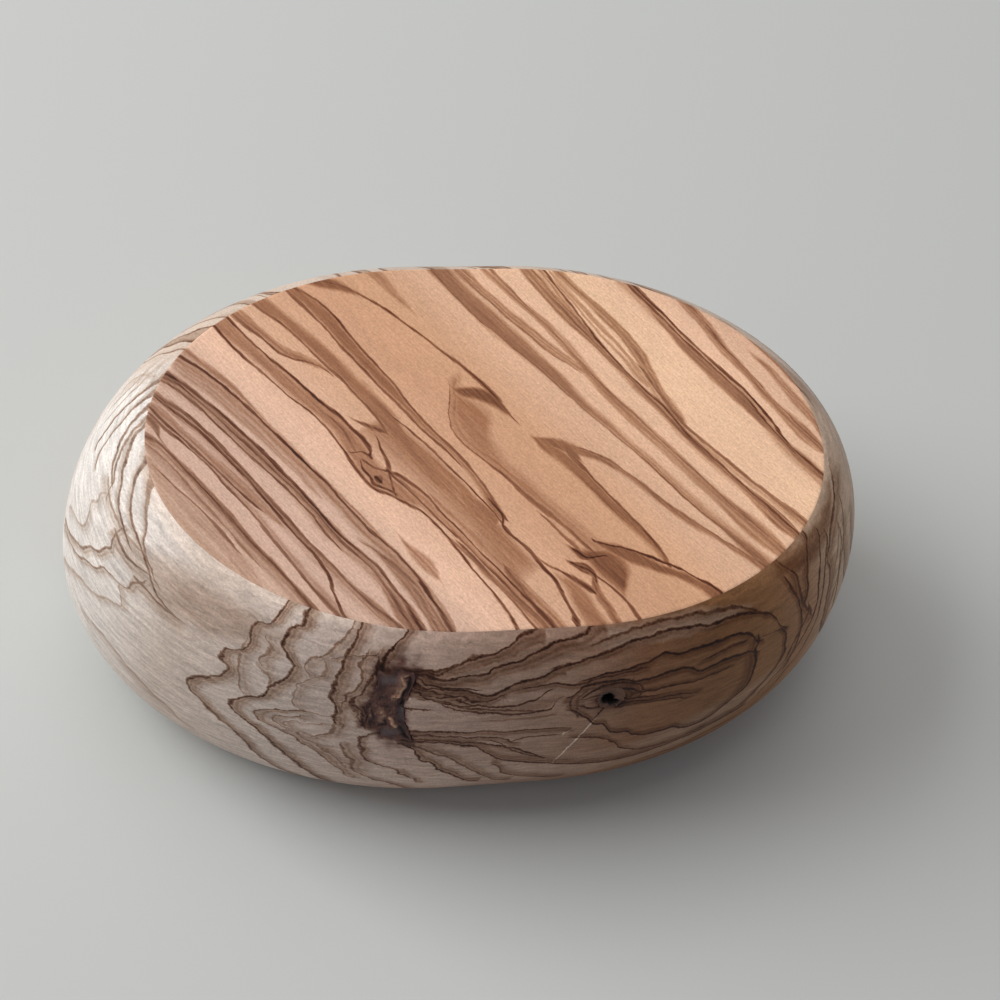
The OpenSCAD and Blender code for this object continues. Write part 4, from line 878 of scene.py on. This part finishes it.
def wall_wood(colours):
    """The same wood on the carved wall, where the layers are cut at a slant: greyer, with contour lines round the
    knots."""
    material, tree, shader = new_material("olive wood, carved round")
    grain = Grain(tree)
    low, high = WALL_SPAN
    height = add_node(tree, "ShaderNodeSeparateXYZ", {0: grain.place}, "Z")
    height = add_node(tree, MATH, {0: height, 1: 1 / MM}, operation="MULTIPLY")
    around, across, front = (add_node(tree, ATTRIBUTE, output="Fac", attribute_name=name)
                             for name in ("around", "across", "front"))
    fac = add_node(tree, MAP_RANGE, {"Value": around, "From Min": low, "From Max": high})
    sway = set_ramp(add_node(tree, RAMP, {"Fac": fac}), [(at, (share,) * 3) for at, share in WALL_SWAY], low, high)
    around, height = (add_node(tree, MATH, {0: noise, 1: sway, 2: value}, operation="MULTIPLY_ADD")
                      for value, noise in ((around, grain.noise(5, 3, 4, 0.62, -0.85, 0.85)),
                                           (height, grain.noise(6, 3.4, 4, 0.62, -0.75, 0.75))))
    fac = add_node(tree, MAP_RANGE, {"Value": around, "From Min": low, "From Max": high})
    # the wall's tone: painted window light whitens the left end, painted shade darkens the front right
    base = set_ramp(add_node(tree, RAMP, {"Fac": fac}), [(at, linear(tone)) for at, tone in WALL_TONE_AND_PAINTED_LIGHT], low, high)
    run_round, run_up = (around, WALL_SPAN, height, WALL_RISE), (height, WALL_RISE, around, WALL_SPAN)
    dark = add_node(tree, MATH, {0: figure_lines(tree, WALL_ROUND, *run_round),
                                 1: figure_lines(tree, WALL_RISING, *run_up)}, operation="MAXIMUM")
    dark = add_node(tree, MATH, {0: dark, 1: front}, operation="MULTIPLY")
    # the back and the hollow: layers that come and go, warped by slow noise
    layer = across
    for shift in (grain.noise(40, 16, 2, 0.5, -6, 6), grain.noise(8, 2, 3, 0.6, -0.4, 0.4)):
        layer = add_node(tree, MATH, {0: layer, 1: shift}, operation="ADD")
    layer = add_node(tree, MATH, {0: layer, 1: 1 / LAYER_REPEAT}, operation="MULTIPLY")
    layer = add_node(tree, MATH, {0: layer}, operation="FRACT")
    back = set_ramp(add_node(tree, RAMP, {"Fac": layer}), [(at, (depth,) * 3) for at, depth in BACK_LAYERS],
                    high=LAYER_REPEAT)
    behind = add_node(tree, MATH, {0: 1.0, 1: front}, operation="SUBTRACT")
    back = add_node(tree, MATH, {0: back, 1: behind}, operation="MULTIPLY")
    # the pale scratch, and painted highlight and painted light on the wall
    paler = add_node(tree, MATH, {0: figure_lines(tree, SCRATCH, *run_up),
                                  1: figure_lines(tree, PAINTED_WALL_LIGHT, *run_round)}, operation="MAXIMUM")
    for share, tone in ((paler, PALE_SCRATCH_AND_LIGHT), (behind, BACK_WALL)):
        base = add_node(tree, MIX, {FACTOR: share, COLOUR_A: base, COLOUR_B: (*linear(tone), 1)}, MIXED_COLOUR,
                        data_type="RGBA")
    # fibres run round the wall, and along the grain at the back and in the hollow
    wall = add_node(tree, "ShaderNodeCombineXYZ", {0: around, 1: height})
    wall = add_node(tree, VECTOR_MATH, {0: wall, 1: (MM, MM, MM)}, operation="MULTIPLY")
    fibre = add_node(tree, MIX, {FACTOR: front, NUMBER_A: grain.noise(3.5, 0.3, 3, 0.6, 0.86, 1.08),
                                 NUMBER_B: grain.noise(7, 0.8, 4, 0.72, 0.6, 1.34, wall)})
    dark = add_node(tree, MATH, {0: dark, 1: back}, operation="MAXIMUM")
    grain.finish(shader, base, dark, fibre, colours)
    return material


# Colours of the bark from its cracks to its ridges, near black in the cracks partly as painted shade, the grey of its
# patches, and the size of its flakes.
BARK_TONES_AND_CRACK_SHADE = ((0, "#140B0A"), (0.2, "#2E1D1B"), (0.42, "#573630"), (0.55, "#6E4A3E"), (0.7, "#92705C"),
              (0.85, "#BC9076"), (1, "#CFB09A"))
BARK_GREY, BARK_FLAKE = "#625658", 0.9


def dead_bark():
    """Dead bark in a sanded knot: torn and rough, dark violet-brown with paler ridges, and cracks near black partly
    as painted shade.
    """
    material, tree, shader = new_material("dead bark, cracked")
    relief, grey = (add_node(tree, ATTRIBUTE, output="Fac", attribute_name=name) for name in ("relief", "grey"))
    place = add_node(tree, "ShaderNodeTexCoord", output="Object")
    flakes = add_node(tree, "ShaderNodeTexNoise", {"Vector": place, "Scale": 1 / (BARK_FLAKE * MM), "Detail": 3.0})
    shift = add_node(tree, MATH, {0: flakes, 1: 0.3, 2: -0.15}, operation="MULTIPLY_ADD")
    level = add_node(tree, MATH, {0: relief, 1: shift}, operation="ADD")
    # darker towards the low cracks: partly the dark bark, partly painted shade in them
    tone = set_ramp(add_node(tree, RAMP, {"Fac": level}), [(at, linear(tint)) for at, tint in BARK_TONES_AND_CRACK_SHADE])
    tone = add_node(tree, MIX, {FACTOR: grey, COLOUR_A: tone, COLOUR_B: (*linear(BARK_GREY), 1)}, MIXED_COLOUR,
                    data_type="RGBA")
    bump = add_node(tree, "ShaderNodeBump", {"Height": flakes, "Strength": 0.6, "Distance": 0.3 * MM})
    set_inputs(shader, {"Base Color": tone, "Roughness": 0.75, "Normal": bump})
    return material


# Colours of the small knot from its pith outwards; the near-black tones at the pith are painted shade in its pit,
# over the dark rotted pith.
PIN_TONES_AND_PIT_SHADE = ((0, "#060302"), (0.4, "#0A0504"), (0.5, "#22130F"), (0.6, "#4A2F27"), (0.68, "#6A4A3A"),
             (0.74, "#4C3226"), (0.84, "#765442"), (0.92, "#5A3E30"), (1, "#6E4E3C"))


def knot_wood():
    """Sanded end grain of a dead twig: brown rings about a rotted pith, near black in its pit partly as painted
    shade.
    """
    material, tree, shader = new_material("knot wood, sanded end grain")
    ring = add_node(tree, ATTRIBUTE, output="Fac", attribute_name="ring")
    # near black in the pith's pit: painted shade over the dark rotted wood
    tone = set_ramp(add_node(tree, RAMP, {"Fac": ring}), [(at, linear(tint)) for at, tint in PIN_TONES_AND_PIT_SHADE])
    set_inputs(shader, {"Base Color": tone, "Roughness": 0.7})
    return material


# Operators

# Middles of the knots on the front wall, along it and up, from the frame.
BARK_PLACE = ((BARK_LOW.x + BARK_HIGH.x) / 2, (BARK_LOW.z + BARK_HIGH.z) / 2)
PIN_PLACE = ((PIN_LOW.x + PIN_HIGH.x) / 2, (PIN_LOW.z + PIN_HIGH.z) / 2)
# Torn outlines of the knots on the wall, in millimetres from their middles: to the right, and up the wall.
BARK_OUTLINE = ((2.1, 8.5), (2.9, 7.6), (2.6, 5.4), (2.2, 3.3), (1.7, 2), (1.6, 0.9), (2.1, -0.9), (2.4, -2.8),
                (3.6, -5.4), (4.4, -7.6), (3.4, -8), (1.8, -7.9), (-0.1, -7.6), (-1, -6.2), (-1.9, -4.8),
                (-3.5, -4.4), (-3.8, -1.9), (-4.4, -1), (-4, 1.7), (-3.4, 3.8), (-3.2, 5.3), (-3.7, 6.9),
                (-3.7, 7.8), (-1.3, 7.9), (0.1, 8.7))
PIN_OUTLINE = ((2.5, 0.2), (1.9, 1.7), (0.4, 2.3), (-1.4, 2), (-2.5, 0.4), (-2.1, -1.5), (-0.4, -2.4), (1.7, -1.9))
# The hole in the small knot, about its own middle.
PITH_MIDDLE = (-0.2, -0.3)
PITH_OUTLINE = ((1.7, -0.7), (0.6, -0.1), (0.3, 1), (-0.6, 1.4), (-1.4, 1), (-1.6, 0.2), (-1.2, -0.7), (-0.3, -1),
                (0.6, -1.6), (1.4, -1.2))
# The bark's level between its cracks, at 0, and its ridges, at 1.
BARK_LEVEL = 0.42
# Ridges and cracks of the bark: weight, half width and the points of each.
BARK_STROKES = (
    (0.28, 0.6, (1.1, 7.3), (0.4, 6.6), (1.3, 5.4), (0.6, 3.8), (-0.2, 2.5)),
    (0.25, 0.2, (1.5, 7.6), (0.7, 6.8), (1.8, 5.5), (1, 3.7), (0.1, 2.4)),
    (-0.42, 0.2, (1.2, 7.1), (2, 7.4), (2.1, 6), (2, 5), (1.3, 3.1), (1.3, 1.2)),
    (-0.22, 0.5, (1.2, 1.2), (1.7, -0.9), (1.7, -3)),
    (-0.48, 0.34, (1.9, -4.4), (2.6, -5.7), (3.2, -6.8)),
    (-0.3, 0.2, (3.2, -6.8), (4.2, -7.8)),
    (0.42, 0.3, (-0.1, -2.2), (0.6, -3.7), (1.4, -4.4)),
    (-0.3, 0.18, (-1.6, -4.6), (-0.4, -4.2), (-0.8, -3.1)),
    (-0.2, 0.2, (-1.8, 0.4), (-0.8, 0.4)),
    (-0.3, 0.2, (-0.2, 2.6), (0.8, 2.6)),
    (0.17, 0.8, (-2, -0.3), (-1, -1.6), (-1.3, -3.1)),
    (-0.2, 0.25, (-3.2, -0.8), (-2.7, -2.6), (-3.2, -4)),
    (0.24, 0.25, (-3.8, -0.4), (-3.3, -2.2)),
)
# Violet-grey patches of the bark, in the same form.
BARK_PATCHES = (
    (0.8, 1, (-2.2, 6.2), (-0.8, 6.4)),
    (0.6, 0.5, (1.6, 0), (1.8, -2.6)),
    (0.8, 1, (-0.1, -6.2), (1, -6)),
)


def ragged(angle, outline):
    """Distance from a knot's middle to its torn outline at an angle."""
    outline = np.array(outline)
    turns, reaches = np.arctan2(outline[:, 1], outline[:, 0]), np.hypot(*outline.T)
    torn = 0.04 * np.cos(19 * angle + 1) + 0.03 * np.cos(31 * angle + 2)
    return np.interp(angle, turns[np.argsort(turns)], reaches[np.argsort(turns)], period=2 * math.pi) * (1 + torn)


# Places further than this from a knot's plane, in millimetres, lie this many times its reach away.
KNOT_NEAR, KNOT_FAR = 12, 9.0


def knot_reach(form, places, spot, outline):
    """Where places lie against a knot's outline on the front wall: below 1 inside it, above 1 outside."""
    local = np.array(form.front_frame(*spot).inverted())
    near = places * MM @ local[:3, :3].T + local[:3, 3]
    across, up, out = (near / MM).T
    reach = np.hypot(across, up) / ragged(np.arctan2(up, across), outline)
    return np.where(np.abs(out) < KNOT_NEAR, reach, KNOT_FAR)


def stroke(places, points):
    """Distance of flat places from a line drawn through points."""
    nearest = np.full(len(places), np.inf)
    for start, end in zip(points, points[1:]):
        run = np.subtract(end, start)
        share = np.clip((places - start) @ run / (run @ run), 0, 1)
        nearest = np.minimum(nearest, np.hypot(*(places - start - share[:, None] * run).T))
    return nearest


# The foot's edge is a crease above this angle, and the foot's wood reaches down this share of its arris.
CREASE, FOOT_SHARE = math.radians(12), 0.6
# The mesh is finer around a knot, up to this many times its reach from its middle.
FINER = 1.3
# The layers lean in the wood: millimetres across the grain for each millimetre of depth, and how much that sways.
LAYER_LEAN, LAYER_SWAY = 0.35, 0.12
# Where the drawn front fades into the back, in millimetres round the wall to the right and to the left, and how much
# further it reaches on the left between two heights.
DRAWN_RIGHT, DRAWN_LEFT, LEFT_GAIN, LEFT_RISE = (102, 114), (100, 118), 14, (24, 42)
# What lies this close to the outside is drawn as the wall, and what lies deeper as the hollow.
SKIN = 2.5
# How strongly the wood is stained beside each knot.
BARK_STAIN, PIN_STAIN = 0.94, 0.62


def carve_body(form, sizes):
    """The dish's outside and hollow, with a sanded arris round its foot and a finer mesh around its knots."""
    bm = sweep_oval(outer_section(form), form.straight, form.end_share)
    hollow = bpy.data.meshes.new("hollow")
    sweep_oval(hollow_section(form), form.straight, form.mouth_share).to_mesh(hollow)
    bm.from_mesh(hollow)
    bpy.data.meshes.remove(hollow)
    bmesh.ops.bridge_loops(bm, edges=[e for e in bm.edges if e.is_boundary])
    bmesh.ops.recalc_face_normals(bm, faces=bm.faces)
    creases = [e for e in bm.edges if len(e.link_faces) == 2 and e.calc_face_angle() > CREASE
               and all(v.co.z > form.height - MERGE for v in e.verts)]
    bmesh.ops.bevel(bm, geom=creases, offset=sizes.arris, offset_type="OFFSET", affect="EDGES", segments=3,
                    profile=0.5, material=-1)
    for spot, outline in ((BARK_PLACE, BARK_OUTLINE), (PIN_PLACE, PIN_OUTLINE)):
        middle = form.front_frame(*spot).translation
        reach = np.hypot(*np.transpose(outline)).max() * MM * FINER
        edges = [e for e in bm.edges if max((v.co - middle).length for v in e.verts) < reach]
        bmesh.ops.subdivide_edges(bm, edges=edges, cuts=1, use_grid_fill=True)
    for face in bm.faces:
        lowest = min(v.co.z for v in face.verts)
        face.material_index = 0 if lowest > form.height - FOOT_SHARE * sizes.arris else 1
    return bm


def write_figure(mesh, form, places):
    """Stores where each vertex lies in the figure of the wood: along and across the grain, round the wall, and
    whether it belongs to the drawn front."""
    x, y, z = places.T
    height = form.height / MM
    lean = LAYER_LEAN + LAYER_SWAY * waves(places, 16, 5)
    write_attribute(mesh, "along", x * GRAIN_ALONG[0] + y * GRAIN_ALONG[1])
    write_attribute(mesh, "across", x * GRAIN_ACROSS[0] + y * GRAIN_ACROSS[1] + (height - z) * lean)
    around = around_wall(form, x, y)
    write_attribute(mesh, "around", around)
    rounded = np.hypot(np.maximum(np.abs(x) - form.straight / MM / 2, 0) / form.end_share, y)
    levels = np.linspace(0, height, 201)
    outside = np.interp(z, levels, [form.wall_at(level * MM) / MM for level in levels])
    past = -around - LEFT_GAIN * soft_step(z, *LEFT_RISE)
    front = (1 - soft_step(around, *DRAWN_RIGHT)) * (1 - soft_step(past, *DRAWN_LEFT))
    write_attribute(mesh, "front", np.where(rounded > outside - SKIN, front, 0))


class DISH_OT_body(bpy.types.Operator):
    """Carve the dish and give it the figure of its wood"""

    bl_idname = "dish.body"
    bl_label = "Dish body"

    def execute(self, context):
        sizes, colours = context.scene.dish_sizes, context.scene.dish_colours
        form = Form(sizes)
        mesh = finish_piece(carve_body(form, sizes), "dish_body_wood", "dish_body", "olive_wood", foot_wood(colours),
                            wall_wood(colours))
        places = vertex_places(mesh)
        write_figure(mesh, form, places)
        bark = knot_reach(form, places, BARK_PLACE, BARK_OUTLINE)
        pin = knot_reach(form, places, PIN_PLACE, PIN_OUTLINE)
        torn = 0.7 * waves(places, 1.6, 6) + 0.5 * waves(places, 0.7, 7)
        stain = np.maximum(BARK_STAIN * (1 - soft_step(bark + 0.13 * torn, 0.96, 1.5)),
                           PIN_STAIN * (1 - soft_step(pin + 0.25 * torn, 0.95, 2.3)))
        write_attribute(mesh, "stain", stain)
        sink = sizes.bark_pit * (1 - soft_step(bark, 0.8, 0.97)) + sizes.pin_pit * (1 - soft_step(pin, 0.76, 0.95))
        for spot, reach in ((BARK_PLACE, bark), (PIN_PLACE, pin)):
            out = np.array(form.front_frame(*spot).to_3x3().col[2])
            places -= np.where(reach < 2, sink / MM, 0)[:, None] * out
        mesh.vertices.foreach_set("co", (places * MM).ravel())
        mesh.update()
        return {"FINISHED"}


# A knot's plug: its depth in millimetres, how far its skirt bulges as a share of its reach, and the height above
# which a vertex belongs to its face.
PLUG_DEPTH, PLUG_BULGE, PLUG_FACE = 4.0, 1.02, -0.01
# How far the bark and the small knot lie under the wall's face, how high the bark's ridges stand over its cracks, how
# deep the pith has rotted away and how far the edge of a plug stands out, in millimetres.
BARK_SUNK, PIN_SUNK, BARK_RELIEF, PITH_DEPTH, EDGE_PROUD = 0.15, 0.12, 0.7, 2.4, 0.02


def knot_plug(rings, turns, outline):
    """A lathed disc with a skirt, stretched to a knot's outline: its bmesh, and for each vertex its share of the
    reach, its place on the flat in millimetres and its height."""
    bm = bmesh.new()
    section = [(i / rings, 0, 0) for i in range(rings + 1)]
    section += [(PLUG_BULGE, 0, -PLUG_DEPTH / 2), (1, 0, -PLUG_DEPTH), (0, 0, -PLUG_DEPTH)]
    verts = [bm.verts.new(place) for place in section]
    edges = [bm.edges.new(pair) for pair in zip(verts, verts[1:])]
    bmesh.ops.spin(bm, geom=verts + edges, cent=(0, 0, 0), axis=(0, 0, 1), angle=2 * math.pi, steps=turns,
                   use_merge=True)
    bmesh.ops.remove_doubles(bm, verts=bm.verts, dist=1e-5)
    across, up, high = np.array([v.co for v in bm.verts]).T
    radius, angle = np.hypot(across, up), np.arctan2(up, across)
    flat = radius * ragged(angle, outline) * np.array((np.cos(angle), np.sin(angle)))
    return bm, radius, np.column_stack((*flat, np.zeros(len(radius)))), high


def seat_plug(bm, form, spot, flat, lift):
    """Lays a plug's vertices on the front wall, lifted out of it by millimetres."""
    turn = form.front_frame(*spot)
    out = turn.to_3x3().col[2]
    for vert, (across, up), rise in zip(bm.verts, flat, lift):
        place = turn @ Vector((across * MM, up * MM, 0))
        past = max(abs(place.x) - form.straight / 2, 0) / form.end_share
        proud = place.y + math.sqrt(form.wall_at(place.z) ** 2 - past ** 2)
        vert.co = place + out * (rise * MM - proud * out.y)


class DISH_OT_bark_knot(bpy.types.Operator):
    """Make the dead knot that still holds its bark"""

    bl_idname = "dish.bark_knot"
    bl_label = "Bark knot"

    def execute(self, context):
        form = Form(context.scene.dish_sizes)
        bm, radius, grit, high = knot_plug(rings=48, turns=144, outline=BARK_OUTLINE)
        flat = grit[:, :2]
        bent = flat + 0.16 * np.column_stack((waves(grit, 1.6, 11), waves(grit, 1.6, 12)))
        relief = BARK_LEVEL + 0.05 * waves(grit, 1.2, 13) + 0.05 * waves(grit, 0.5, 14) + 0.04 * waves(grit, 0.35, 16)
        grey = np.zeros(len(flat))
        for total, strokes in ((relief, BARK_STROKES), (grey, BARK_PATCHES)):
            for weight, half, *points in strokes:
                total += weight * np.exp(-(stroke(bent, points) / half) ** 2)
        front = high > PLUG_FACE
        rim = soft_step(radius, 0.84, 0.98)
        lift = -BARK_SUNK + BARK_RELIEF * (np.clip(relief, -0.3, 1) - BARK_LEVEL)
        lift = (1 - rim) * lift + rim * (EDGE_PROUD + 0.05 * waves(grit, 0.7, 15))
        seat_plug(bm, form, BARK_PLACE, flat, np.where(front, lift, high))
        mesh = finish_piece(bm, "bark_knot_bark", "bark_knot", "bark", dead_bark())
        write_attribute(mesh, "relief", np.where(front, np.clip(relief, 0, 1), 0))
        write_attribute(mesh, "grey", np.clip(grey, 0, 1))
        return {"FINISHED"}


class DISH_OT_pin_knot(bpy.types.Operator):
    """Make the small dead knot with its rotted pith"""

    bl_idname = "dish.pin_knot"
    bl_label = "Pin knot"

    def execute(self, context):
        form = Form(context.scene.dish_sizes)
        bm, radius, grit, high = knot_plug(rings=36, turns=96, outline=PIN_OUTLINE)
        flat = grit[:, :2]
        off = flat - PITH_MIDDLE
        pith = np.hypot(*off.T) / ragged(np.arctan2(off[:, 1], off[:, 0]), PITH_OUTLINE)
        pith += 0.05 * waves(grit, 0.9, 21)
        lift = -PIN_SUNK - PITH_DEPTH * (1 - soft_step(pith, 0.72, 1.02)) + 0.05 * waves(grit, 0.5, 22)
        rim = soft_step(radius, 0.82, 0.98)
        lift = (1 - rim) * lift + rim * (EDGE_PROUD + 0.04 * waves(grit, 0.7, 23))
        seat_plug(bm, form, PIN_PLACE, flat, np.where(high > PLUG_FACE, lift, high))
        mesh = finish_piece(bm, "pin_knot_wood", "pin_knot", "knot_wood", knot_wood())
        write_attribute(mesh, "ring", np.clip(pith / 2, 0, 1))
        return {"FINISHED"}


# The camera: its turn round the dish, its height and its roll, then its distance and its shift sideways and up.
CAMERA_AZIMUTH, CAMERA_ELEVATION, CAMERA_ROLL = (math.radians(a) for a in (-24.62, 53.72, 18.15))
CAMERA_DISTANCE = 432.6 * MM
CAMERA_OFFSET = (10.05 * MM, 17.23 * MM)
FRAME_PIXELS, FOCAL_PIXELS, SENSOR_WIDTH = 1000, 2200, 36
# Each lamp: its name, its place and size in metres, its power and its colour.
LIGHTS = (
    ("window", (-1.25, 0.55, 0.95), 1.2, 26.0, "#FFFFFF"),
    ("ceiling", (-0.1, 0.45, 1.4), 1.2, 6.0, "#FFF6EE"),
)
WORLD_TINT, WORLD_STRENGTH = "#F8F9FF", 0.25
FLOOR_REACH = 3


class DISH_OT_stage(bpy.types.Operator):
    """Set up the floor, the lights and the camera"""

    bl_idname = "dish.stage"
    bl_label = "Stage"

    def execute(self, context):
        scene = context.scene
        bm = bmesh.new()
        bmesh.ops.create_grid(bm, x_segments=1, y_segments=1, size=FLOOR_REACH)
        mesh = bpy.data.meshes.new("floor")
        bm.to_mesh(mesh)
        bm.free()
        floor = bpy.data.objects.new("floor", mesh)
        scene.collection.objects.link(floor)
        material, _, shader = new_material("plain floor")
        set_inputs(shader, {"Base Color": (*scene.dish_colours.floor, 1), "Roughness": 0.7})
        mesh.materials.append(material)

        for name, place, size, power, tint in LIGHTS:
            lamp = bpy.data.lights.new(name, "AREA")
            lamp.size, lamp.energy, lamp.color = size, power, linear(tint)
            light = bpy.data.objects.new(name, lamp)
            light.location = place
            light.rotation_euler = (-Vector(place)).to_track_quat("-Z", "Y").to_euler()
            scene.collection.objects.link(light)
        world = scene.world or bpy.data.worlds.new("studio")
        scene.world = world
        world.use_nodes = True
        background = world.node_tree.nodes["Background"]
        set_inputs(background, {"Color": (*linear(WORLD_TINT), 1), "Strength": WORLD_STRENGTH})

        back = Vector((math.sin(CAMERA_AZIMUTH) * math.cos(CAMERA_ELEVATION),
                       -math.cos(CAMERA_AZIMUTH) * math.cos(CAMERA_ELEVATION), math.sin(CAMERA_ELEVATION)))
        right = Vector((math.cos(CAMERA_AZIMUTH), math.sin(CAMERA_AZIMUTH), 0))
        up = back.cross(right)
        tilt_right = right * math.cos(CAMERA_ROLL) + up * math.sin(CAMERA_ROLL)
        tilt_up = up * math.cos(CAMERA_ROLL) - right * math.sin(CAMERA_ROLL)
        spot = back * CAMERA_DISTANCE + tilt_right * CAMERA_OFFSET[0] + tilt_up * CAMERA_OFFSET[1]
        lens = bpy.data.cameras.new("camera")
        lens.sensor_width = SENSOR_WIDTH
        lens.lens = SENSOR_WIDTH * FOCAL_PIXELS / FRAME_PIXELS
        lens.clip_start = 0.01
        camera = bpy.data.objects.new("camera", lens)
        camera.matrix_world = Matrix.Translation(spot) @ Matrix((tilt_right, tilt_up, back)).transposed().to_4x4()
        scene.collection.objects.link(camera)
        scene.camera = camera
        scene.view_settings.view_transform = "Standard"
        return {"FINISHED"}


class DISH_PT_panel(bpy.types.Panel):
    """Lists the dish's pieces in the sidebar"""

    bl_idname = "DISH_PT_panel"
    bl_label = "Olive-wood dish"
    bl_space_type = "VIEW_3D"
    bl_region_type = "UI"
    bl_category = "Dish"

    def draw(self, context):
        for operator in OPERATORS:
            self.layout.operator(operator.bl_idname)


OPERATORS = (DISH_OT_body, DISH_OT_bark_knot, DISH_OT_pin_knot, DISH_OT_stage)
CLASSES = (DishSizes, DishColours, *OPERATORS, DISH_PT_panel)


def register():
    for cls in CLASSES:
        bpy.utils.register_class(cls)
    bpy.types.Scene.dish_sizes = PointerProperty(type=DishSizes)
    bpy.types.Scene.dish_colours = PointerProperty(type=DishColours)


def unregister():
    del bpy.types.Scene.dish_colours
    del bpy.types.Scene.dish_sizes
    for cls in reversed(CLASSES):
        bpy.utils.unregister_class(cls)


def main():
    register()
    for operator in (bpy.ops.dish.body, bpy.ops.dish.bark_knot, bpy.ops.dish.pin_knot, bpy.ops.dish.stage):
        operator()


if __name__ == "__main__":
    main()
